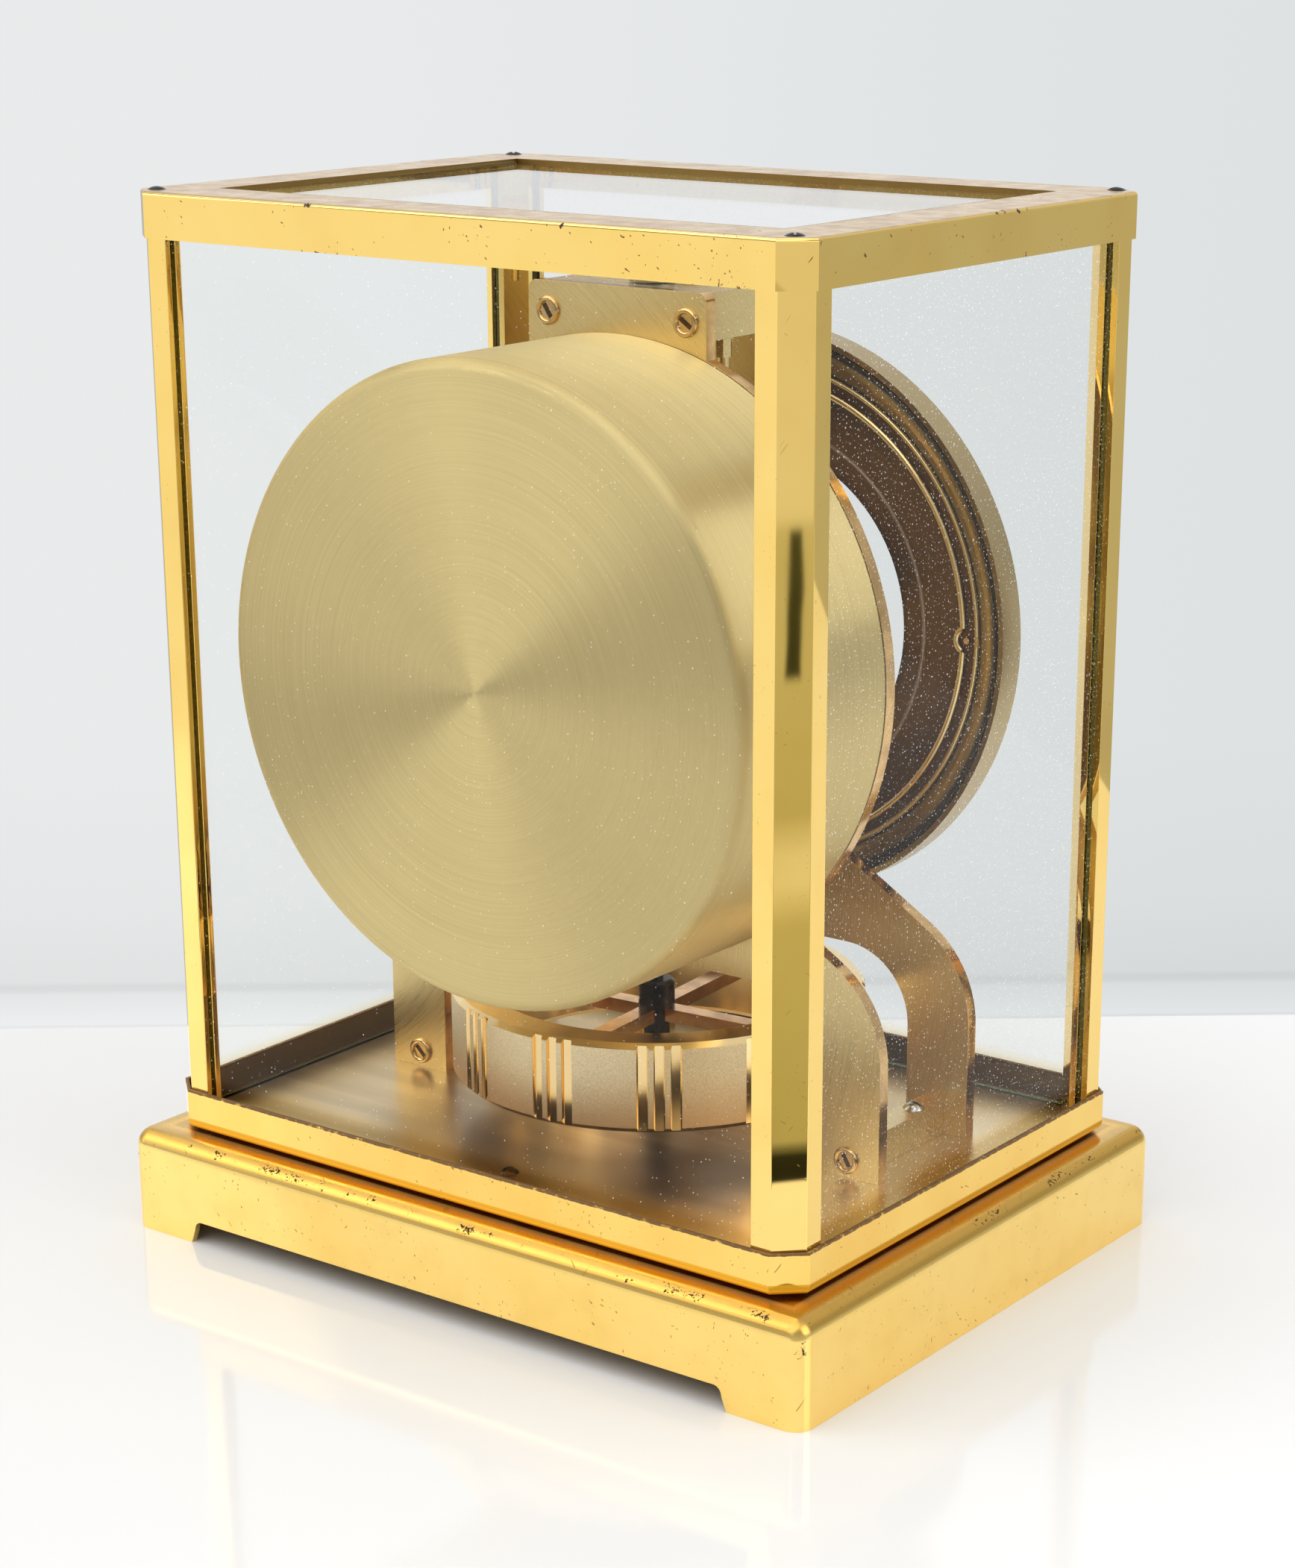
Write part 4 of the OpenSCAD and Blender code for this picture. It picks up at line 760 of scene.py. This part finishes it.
drumGrain = {
    "centre": (0, 0, axisZ), "density": 3600.0, "wander": 0.6, "shares": (0.72, 0.1, 0.18),
    "dark": (0.73, 0.58, 0.27, 1), "light": (0.89, 0.72, 0.355, 1), "cloudNoise": (25.0, 3.0),
    "rough": (0.45, 0.56), "anisotropy": 0.93, "specks": 0.02, "speckScale": 700.0, "speckMix": 0.6,
    "bump": 0.09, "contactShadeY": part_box("rear_plate")[1][1],
}
plateGrain = {  # long arcs about a centre beside the plate
    "centre": (0.10, 0, axisZ - 0.05), "density": 5200.0, "wander": 3.0, "shares": (0.7, 0.1, 0.2),
    "dark": (0.73, 0.55, 0.245, 1), "light": (0.87, 0.67, 0.315, 1), "cloudNoise": (40.0, 3.0),
    "rough": (0.24, 0.38), "speckMix": 0.0, "scratchMix": 0.5, "bump": 0.14,
}
floorGrain = {
    "stretch": (1, 22, 22), "scale": 60.0, "shares": (0.05, 0.75, 0.2), "rough": (0.29, 0.33),
    "bump": 0.012, "dark": (0.60, 0.455, 0.265, 1), "light": (0.82, 0.64, 0.39, 1),
    # a painted shadow round the ring and a painted lighter tone towards -X
    "shadeCentre": (0.006, pendulumY, 0), "shade": (0.033, 0.060, 0.008), "shadeSide": (-0.006, 0.016),
    "shadeLeft": (0.030, 0.055), "shadeColor": (0.33, 0.24, 0.145, 1),
    "paintedLightSide": (-0.066, -0.034), "paintedLightColor": (1.0, 0.82, 0.55, 1),
}
barGrain = {
    "stretch": (1, 20, 20), "scale": 80.0, "rough": (0.19, 0.33),
    "dark": (0.69, 0.525, 0.24, 1), "light": (0.82, 0.64, 0.31, 1),
}
drumBrass = grainedMetal("drumBrass", drumGrain)
plateBrass = grainedMetal("plateBrass", plateGrain)
floorBrass = grainedMetal("floorBrass", floorGrain)
satinBrass = grainedMetal("satinBrass", barGrain)
plateEdge = plainMetal("plateEdge", (0.88, 0.56, 0.24, 1), 0.12)
wheelBrass = plainMetal("wheelBrass", (0.92, 0.68, 0.28, 1), 0.14)
screwBrass = plainMetal("screwBrass", (0.72, 0.49, 0.21, 1), 0.14)
slotBrown = plainMetal("slotBrown", (0.10, 0.056, 0.022, 1), 0.4)
copperBrass = plainMetal("copperBrass", (0.80, 0.46, 0.21, 1), 0.16)
darkSteel = plainMetal("darkSteel", (0.05, 0.042, 0.036, 1), 0.28)
steel = plainMetal("steel", (0.60, 0.59, 0.57, 1), 0.16)
dialBrown = dialMetal("dialBrown", dialSettings)
ringFrost = frostedRing("ringFrost", ringSettings)
rubyStone = ruby("rubyStone", rubySettings)
levelSpirit = spiritLevel("levelSpirit", levelSettings)
leftPane = paneGlass("leftPane", "left_glass", {"dust": 0.12})
frontPane = paneGlass("frontPane", "front_glass", {"dust": 0.12})
rearPane = paneGlass("rearPane", "rear_glass", {"dust": 0.20})
dustyPane = paneGlass("dustyPane", "right_glass", {"dust": 0.76, "tint": (0.945, 0.955, 0.95, 1)})
topPane = paneGlass("topPane", "top_glass", {"dust": 0.45, "ior": 1.5})
groundRim = paneEdge("groundRim", groundSettings)
print("materials ready")


# pieces that replace a solid with a softer edged copy

dressSettings = {
    "mergeGap": 2e-6, "flatAngle": 0.4, "sharpAngle": 28.0, "smoothAngle": 34.0, "segments": 2,
    "profile": 0.5, "faceWeight": 80, "wallTilt": 0.3, "wideTilt": 0.9,
}
roundSettings = {  # the plinth, whose top face lies a little under its pad
    "radius": 0.0042, "cuts": 6, "half": boxOf("plinth")[1][:2], "top": 0.023,
    "cutGap": 1e-7, "topGap": 1e-6,
}


def linkPiece(name, mesh):
    obj = bpy.data.objects.new(name, mesh)
    bpy.context.scene.collection.objects.link(obj)
    return obj


def settle(obj):  # the evaluated mesh becomes the piece's own, no modifier is left
    depsgraph = bpy.context.evaluated_depsgraph_get()
    mesh = bpy.data.meshes.new_from_object(obj.evaluated_get(depsgraph))
    obj.modifiers.clear()
    obj.data = mesh


def softShade(obj, s):
    obj.data.shade_smooth()
    obj.data.set_sharp_from_angle(angle=math.radians(s["smoothAngle"]))
    weighted = obj.modifiers.new("weighted", "WEIGHTED_NORMAL")
    weighted.keep_sharp = True
    weighted.weight = s["faceWeight"]
    settle(obj)


def cutAcross(bm, axis, at, gap):  # new edges where a plane square to one axis meets the mesh
    place = [0, 0, 0]
    normal = [0, 0, 0]
    place[axis] = at
    normal[axis] = 1
    everything = bm.verts[:] + bm.edges[:] + bm.faces[:]
    bmesh.ops.bisect_plane(bm, geom=everything, dist=gap, plane_co=place, plane_no=normal)


def drawIn(bm, s):  # upright corners and the upper edge of a box drawn in to one radius
    r = s["radius"]
    core = [s["half"][0] - r, s["half"][1] - r, s["top"] - r]
    for axis, sides in enumerate(((-1, 1), (-1, 1), (1,))):
        for side in sides:
            for cut in range(s["cuts"]):
                reach = core[axis] + r * math.sin(cut / s["cuts"] * math.pi / 2)
                cutAcross(bm, axis, side * reach, s["cutGap"])
    for v in bm.verts:
        sizes = [abs(v.co.x), abs(v.co.y), v.co.z]
        out = Vector([max(a - c, 0) for a, c in zip(sizes, core)])
        if out.length > r and v.co.z <= s["top"] + s["topGap"]:
            out *= r / out.length
            x, y, z = (min(a, c) + o for a, c, o in zip(sizes, core, out))
            v.co = (math.copysign(x, v.co.x), math.copysign(y, v.co.y), z)


def dress(nodeName, pieceName, mat, bevel, edgeMat=None, rounding=None, s=dressSettings):
    bm = bmesh.new()
    bm.from_mesh(nodes[nodeName].data)
    bmesh.ops.remove_doubles(bm, verts=bm.verts, dist=s["mergeGap"])
    bmesh.ops.dissolve_limit(bm, angle_limit=math.radians(s["flatAngle"]), verts=bm.verts, edges=bm.edges)
    sharpest = math.radians(s["sharpAngle"])
    sharp = [e for e in bm.edges if len(e.link_faces) == 2 and e.calc_face_angle(0) > sharpest]
    made = bmesh.ops.bevel(bm, geom=sharp, offset=bevel, segments=s["segments"], profile=s["profile"],
                           affect="EDGES", clamp_overlap=True)
    if rounding:
        drawIn(bm, rounding)
    for face in bm.faces:
        face.material_index = 0
    if edgeMat:  # the sawn outline is polished with its bevels
        bm.normal_update()
        walls = [f for f in bm.faces if abs(f.normal.y) < s["wallTilt"]]
        for face in walls + made["faces"]:
            face.material_index = 1
    mesh = bpy.data.meshes.new(pieceName)
    bm.to_mesh(mesh)
    bm.free()
    for m in (mat, edgeMat):
        if m:
            mesh.materials.append(m)
    obj = linkPiece(pieceName, mesh)
    softShade(obj, s)
    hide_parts(nodeName)
    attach(obj, bodyOf[nodeName])
    return obj


def dressPane(nodeName, pieceName, mat, s=dressSettings):  # wide faces clear, ground rim greenish
    obj = dress(nodeName, pieceName, mat, bevel=0.00015)
    obj.data.materials.append(groundRim)
    thin = thinSide(nodeName)
    for f in obj.data.polygons:
        f.material_index = 0 if abs(f.normal[thin]) > s["wideTilt"] else 1


def paint(nodeNames, mat):
    for name in nodeNames:
        obj = nodes[name]
        obj.data.materials.clear()
        obj.data.materials.append(mat)


dress("plinth", "giltPlinthShell", giltPlinth, bevel=0.00035, rounding=roundSettings)
dress("rim", "giltRimTray", giltRim, bevel=0.0002)
dress("cap", "giltCapFrame", giltCap, bevel=0.00015)
postPieces = ["postRearLeft", "postRearRight", "postFrontLeft", "postFrontRight"]
for nodeName, pieceName in zip(postNodes, postPieces):
    dress(nodeName, pieceName, giltPosts, bevel=0.00022)
dress("rear_plate", "rearPlateGrained", plateBrass, bevel=0.0003, edgeMat=plateEdge)
dress("front_plate", "frontPlateGrained", plateBrass, bevel=0.0003, edgeMat=plateEdge)
dress("foot_bars", "footBarsSatin", satinBrass, bevel=0.0002)
dress("top_block", "topBlockSatin", satinBrass, bevel=0.0002)
dress("floor_plate", "floorPlateSatin", floorBrass, bevel=0.0001)
print("edges softened")

dressPane("rear_glass", "rearPane", rearPane)
dressPane("left_glass", "leftPane", leftPane)
dressPane("right_glass", "rightPane", dustyPane)
dressPane("front_glass", "frontPane", frontPane)
dressPane("top_glass", "topPane", topPane)

paint(["pane_knob", "level_cup", "lock_lever", "foot_left", "foot_right", "hour_markers"], giltTrim)
paint(["drum"], drumBrass)
paint(["dial_pillars", "suspension_head", "block_studs", "train_bridge", "bridge_pillars", "escape_cage",
       "bearing_post"], satinBrass)
paint(["barrel", "crown_wheel", "minute_wheel", "hour_wheel", "escape_wheel"], wheelBrass)
paint(["dial_ring"], dialBrown)
paint(["pendulum_ring"], ringFrost)
paint(["pendulum_spokes", "bellows"], copperBrass)
paint(["cap_screws", "pendulum_hub", "minute_hand", "hour_hand"], darkSteel)
paint(["plate_screws"], screwBrass)
paint(["floor_screw"], slotBrown)
paint(["base_screws", "bar_screws", "barrel_arbor", "minute_stud", "lock_screw", "torsion_wire",
       "roller", "mainspring", "centre_arbor", "escape_arbor", "pallet_fork", "rate_lever"], steel)
paint(["bushes"], rubyStone)
paint(["level_glass"], levelSpirit)
print("solids painted")


# small repeated forms

rodSides = 12


def newForm(name, **inputs):  # geometry tree with a material of its own
    solid = {"Geometry": "NodeSocketGeometry"}
    named = {label.replace("_", " "): value for label, value in inputs.items()}
    return newGroup(name, "GeometryNodeTree", {**solid, **named, "Material": "NodeSocketMaterial"}, solid)


def finishForm(t, geometry, i, o):
    whole = make(t, "GeometryNodeRealizeInstances", Geometry=geometry)["Geometry"]
    painted = make(t, "GeometryNodeSetMaterial", Geometry=whole, Material=i["Material"])["Geometry"]
    t.links.new(painted, o["Geometry"])
    return t


def makeRodRing():  # short rods side by side round an axis along Y
    t, i, o = newForm("rodRing", Count=12, Ring_Radius=0.01, Rod_Radius=0.001, Length=0.001, Centre=origin)
    ring = make(t, "GeometryNodeMeshCircle", Vertices=i["Count"], Radius=i["Ring Radius"])["Mesh"]
    rod = make(t, "GeometryNodeMeshCylinder", Vertices=rodSides, Radius=i["Rod Radius"], Depth=i["Length"])
    rods = make(t, "GeometryNodeInstanceOnPoints", Points=ring, Instance=rod["Mesh"])["Instances"]
    upright = (math.pi / 2, 0, 0)
    placed = make(t, "GeometryNodeTransform", Geometry=rods, Translation=i["Centre"], Rotation=upright)
    return finishForm(t, placed["Geometry"], i, o)


def makeSlotBars():  # one dark bar on each point, painted shade for a screw's slot, turned a little differently
    t, i, o = newForm("slotBars", Size=(0.001, 0.001, 0.001), Least_Turn=0.0, Most_Turn=1.0, Seed=0)
    bar = make(t, "GeometryNodeMeshCube", Size=i["Size"])["Mesh"]
    chance = t.nodes.new("FunctionNodeRandomValue")
    feedEach(t, [c for c in chance.inputs if c.enabled], (i["Least Turn"], i["Most Turn"]))
    t.links.new(i["Seed"], chance.inputs["Seed"])
    drawn = [c for c in chance.outputs if c.enabled][0]
    turn = make(t, "ShaderNodeCombineXYZ", Y=drawn)[0]
    bars = make(t, "GeometryNodeInstanceOnPoints", Points=i["Geometry"], Instance=bar, Rotation=turn)
    return finishForm(t, bars["Instances"], i, o)


def grow(pieceName, t, points, body, values):  # the tree runs once and leaves a plain mesh
    mesh = bpy.data.meshes.new(pieceName)
    mesh.from_pydata(points, [], [])
    obj = linkPiece(pieceName, mesh)
    maker = obj.modifiers.new("form", "NODES")
    maker.node_group = t
    for item in t.interface.items_tree:
        if item.name in values:
            maker[item.identifier] = values[item.name]
    settle(obj)
    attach(obj, body)


def islandBoxes(nodeName):  # box of each separate solid in a node
    bm = bmesh.new()
    bm.from_mesh(nodes[nodeName].data)
    bmesh.ops.remove_doubles(bm, verts=bm.verts, dist=dressSettings["mergeGap"])
    left = set(bm.verts)
    boxes = []
    while left:
        island = {left.pop()}
        edge = list(island)
        while edge:
            near = {v for e in edge.pop().link_edges for v in e.verts} & left
            island |= near
            left -= near
            edge += near
        spots = [v.co for v in island]
        boxes.append(([min(c) for c in zip(*spots)], [max(c) for c in zip(*spots)]))
    bm.free()
    return sorted(boxes)


def slotSeats(s):  # the hollow of each plate screw, on the side that it is driven from
    seats = []
    for low, high in islandBoxes("plate_screws"):
        rear = (low[1] + high[1]) / 2 > middle("top_block")[1]
        y = high[1] - s["rim"] + s["height"] if rear else low[1] + s["rim"] - s["height"]
        seats.append(((low[0] + high[0]) / 2, y, (low[2] + high[2]) / 2))
    return seats


rodRing = makeRodRing()
slotBars = makeSlotBars()
seatSettings = {"rim": 0.00087, "height": 0.00028}
slotSettings = {
    "Size": (0.0032, 0.00012, 0.0010), "Least Turn": -1.1, "Most Turn": -0.5, "Seed": 4,
    "Material": slotBrown,
}
knobLow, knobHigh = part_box("pane_knob")
ribSettings = {
    "Count": 36, "Ring Radius": (knobHigh[0] - knobLow[0]) / 2 - 0.00006, "Rod Radius": 0.00022,
    "Length": 0.0018, "Centre": (0, knobLow[1] + 0.0017, middle("pane_knob")[2]), "Material": giltTrim,
}
dotSettings = {
    "Count": 60, "Ring Radius": 0.0597, "Rod Radius": 0.0004, "Length": 0.0002,
    "Centre": (0, -0.04665, axisZ), "Material": giltTrim,
}
grow("screwSlots", slotBars, slotSeats(seatSettings), "case", slotSettings)
grow("knobRibs", rodRing, [origin], "pane", ribSettings)
grow("minuteDots", rodRing, [origin], "case", dotSettings)
print("slots, ribs and dots grown")


# stage

stageSettings = {
    "reach": 40.0, "farEdge": (0.137, 0.138), "nearEdge": (0.208, 0.211), "cameraDepth": 0.69,
    "tilt": 0.034, "table": (0.90, 0.90, 0.905, 1), "tableRough": 0.08, "tableTurn": (-0.2, 0.2),
    "tableLeft": (0.74, 0.74, 0.74, 1), "tableRight": (0.84, 0.84, 0.84, 1),
    "backLeft": (0.85, 0.865, 0.87, 1), "backRight": (0.765, 0.79, 0.80, 1), "backTurn": (-0.16, 0.20),
    "backSpan": 0.45, "backShade": (  # share of the backdrop's tone, by distance behind the clock
        (0.0, 0.90), (0.1372, 1.0), (0.1380, 0.93), (0.1396, 0.93), (0.1406, 1.0), (0.165, 0.92),
        (0.169, 0.83), (0.1725, 0.82), (0.176, 0.885), (0.20, 0.90), (0.253, 0.93), (0.433, 0.96)),
    "mirroredFar": (0.50, 0.51, 0.49, 1),
    "pale": (0.80, 0.815, 0.82, 1), "paleFrom": (0.45, 0.95), "paleDepth": (-0.1, 0.1),
    "card": (0.98, 0.98, 0.95, 1), "cardAcross": (-0.42, -0.33), "cardDepth": (0.35, 0.9),
    "roomReach": 1.2, "roomAcross": (-0.33, -0.22),
    "room": (  # what bright metal mirrors in front of the table, by distance toward the camera
        (0.211, (0.02, 0.022, 0.012, 1)), (0.227, (0.03, 0.032, 0.02, 1)), (0.234, (0.46, 0.46, 0.31, 1)),
        (0.40, (0.54, 0.53, 0.38, 1)), (0.44, (0.80, 0.80, 0.74, 1)), (0.47, (0.78, 0.78, 0.72, 1)),
        (0.52, (0.52, 0.51, 0.36, 1)), (1.0, (0.58, 0.58, 0.48, 1)), (1.03, (0.76, 0.76, 0.74, 1))),
    "spotDepth": (0.70, 1.0, 0.012), "spotSlope": 0.2625, "spotAcross": (-0.0006, 0.0100, 0.0015),
    "spotColor": (0.04, 0.045, 0.022, 1),
}


def seenRay(t):  # 1 for what the camera sees straight or through a pane
    rays = make(t, "ShaderNodeLightPath")
    straight = calc(t, "LESS_THAN", rays["Glossy Depth"], 0.5)
    return times(t, straight, minus(t, 1.0, rays["Is Diffuse Ray"]))


def makeFloor(s):
    mesh = bpy.data.meshes.new("floor")
    h = s["reach"]
    mesh.from_pydata([(-h, -h, 0), (h, -h, 0), (h, h, 0), (-h, h, 0)], [], [(0, 1, 2, 3)])
    obj = linkPiece("floor", mesh)
    mat, t, table, coords = newMaterial("paleFloor")
    a = math.radians(cameraSettings["azimuth"])
    depth = vectorCalc(t, "DOT_PRODUCT", coords, (-math.sin(a), math.cos(a), 0))  # toward the camera
    across = vectorCalc(t, "DOT_PRODUCT", coords, (-math.cos(a), -math.sin(a), 0))  # to the right
    rays = make(t, "ShaderNodeLightPath")
    mirrored = times(t, rays["Is Glossy Ray"], minus(t, 1.0, rays["Is Transmission Ray"]))
    # the table seen by the camera is painted darker to the left, a painted shade
    seen = mixColor(t, ramp(t, across, *s["tableTurn"]), s["tableLeft"], s["tableRight"])
    fill(t, table, Base_Color=mixColor(t, mirrored, seen, s["table"]), Roughness=s["tableRough"])

    behind = times(t, plus(t, depth, times(t, across, s["tilt"])), -1.0)
    slant = calc(t, "DIVIDE", across, minus(t, s["cameraDepth"], depth))
    back = mixColor(t, ramp(t, slant, *s["backTurn"]), s["backLeft"], s["backRight"])
    shades = [(d, (v, v, v, 1)) for d, v in s["backShade"]]
    back = vectorCalc(t, "MULTIPLY", back, spanRamp(t, behind, s["backSpan"], shades))
    back = mixColor(t, mirrored, back, s["mirroredFar"])
    onTable = ramp(t, behind, *s["farEdge"], 1.0, 0.0)
    final = mixShader(t, onTable, emission(t, back), table.outputs[0])

    room = spanRamp(t, depth, s["roomReach"], s["room"])
    skew = minus(t, across, times(t, depth, s["spotSlope"]))
    spot = times(t, band(t, depth, *s["spotDepth"]), band(t, skew, *s["spotAcross"]))
    room = mixColor(t, spot, room, s["spotColor"])
    inRoom = times(t, ramp(t, depth, *s["nearEdge"]), ramp(t, across, *s["roomAcross"]), mirrored)
    final = mixShader(t, inRoom, final, emission(t, room))
    cardDepth = ramp(t, minus(t, depth, across), *s["cardDepth"])
    onCard = times(t, ramp(t, across, *s["cardAcross"], 1.0, 0.0), cardDepth, mirrored)
    final = mixShader(t, onCard, final, emission(t, s["card"]))
    far = ramp(t, vectorCalc(t, "LENGTH", coords), *s["paleFrom"])
    far = times(t, far, ramp(t, depth, *s["paleDepth"]), seenRay(t))
    setSurface(t, mixShader(t, far, final, emission(t, s["pale"])))
    obj.data.materials.append(mat)


lightSettings = {
    "overhead": {"place": (0.20, 0.60, 1.3), "target": (0, 0, 0.1), "size": (2.0, 2.0), "power": 17.5},
    "leftSoft": {"place": (1.1, 0.7, 0.7), "target": (0, 0, 0.12), "size": (0.7, 1.0), "power": 2.5},
    "rightSoft": {"place": (-1.2, -0.2, 0.8), "target": (0, 0, 0.05), "size": (1.0, 1.0), "power": 6},
}


def makeLight(name, s):
    data = bpy.data.lights.new(name, "AREA")
    data.shape = "RECTANGLE"
    data.size, data.size_y = s["size"]
    data.energy = s["power"]
    obj = bpy.data.objects.new(name, data)
    toward = Vector(s["target"]) - Vector(s["place"])
    obj.matrix_world = Matrix.Translation(s["place"]) @ toward.to_track_quat("-Z", "Y").to_matrix().to_4x4()
    bpy.context.scene.collection.objects.link(obj)


worldSettings = {
    "back": (0.562, -0.763, 0), "wall": (0.42, 0.42, 0.40, 1), "backWall": (0.88, 0.89, 0.90, 1),
    "backSpan": (0.15, 0.8), "above": (0.70, 0.70, 0.71, 1), "aboveSpan": (0.25, 0.8),
    "ground": (0.5, 0.5, 0.5, 1), "groundSpan": (-0.02, 0.0),
}


def makeWorld(s):  # a pale studio, brightest behind the clock
    world = bpy.data.worlds.new("studio")
    bpy.context.scene.world = world
    world.use_nodes = True
    t = world.node_tree
    t.nodes.clear()
    direction = make(t, "ShaderNodeTexCoord")["Generated"]
    behind = vectorCalc(t, "DOT_PRODUCT", direction, s["back"])
    up = splitXyz(t, direction)[2]
    walls = mixColor(t, ramp(t, behind, *s["backSpan"]), s["wall"], s["backWall"])
    sky = mixColor(t, ramp(t, up, *s["aboveSpan"]), walls, s["above"])
    sky = mixColor(t, ramp(t, up, *s["groundSpan"]), s["ground"], sky)
    sky = mixColor(t, seenRay(t), sky, stageSettings["pale"])
    make(t, "ShaderNodeOutputWorld", Surface=make(t, "ShaderNodeBackground", Color=sky)[0])


makeFloor(stageSettings)
for name, settings in lightSettings.items():
    makeLight(name, settings)
makeWorld(worldSettings)
print("stage ready")
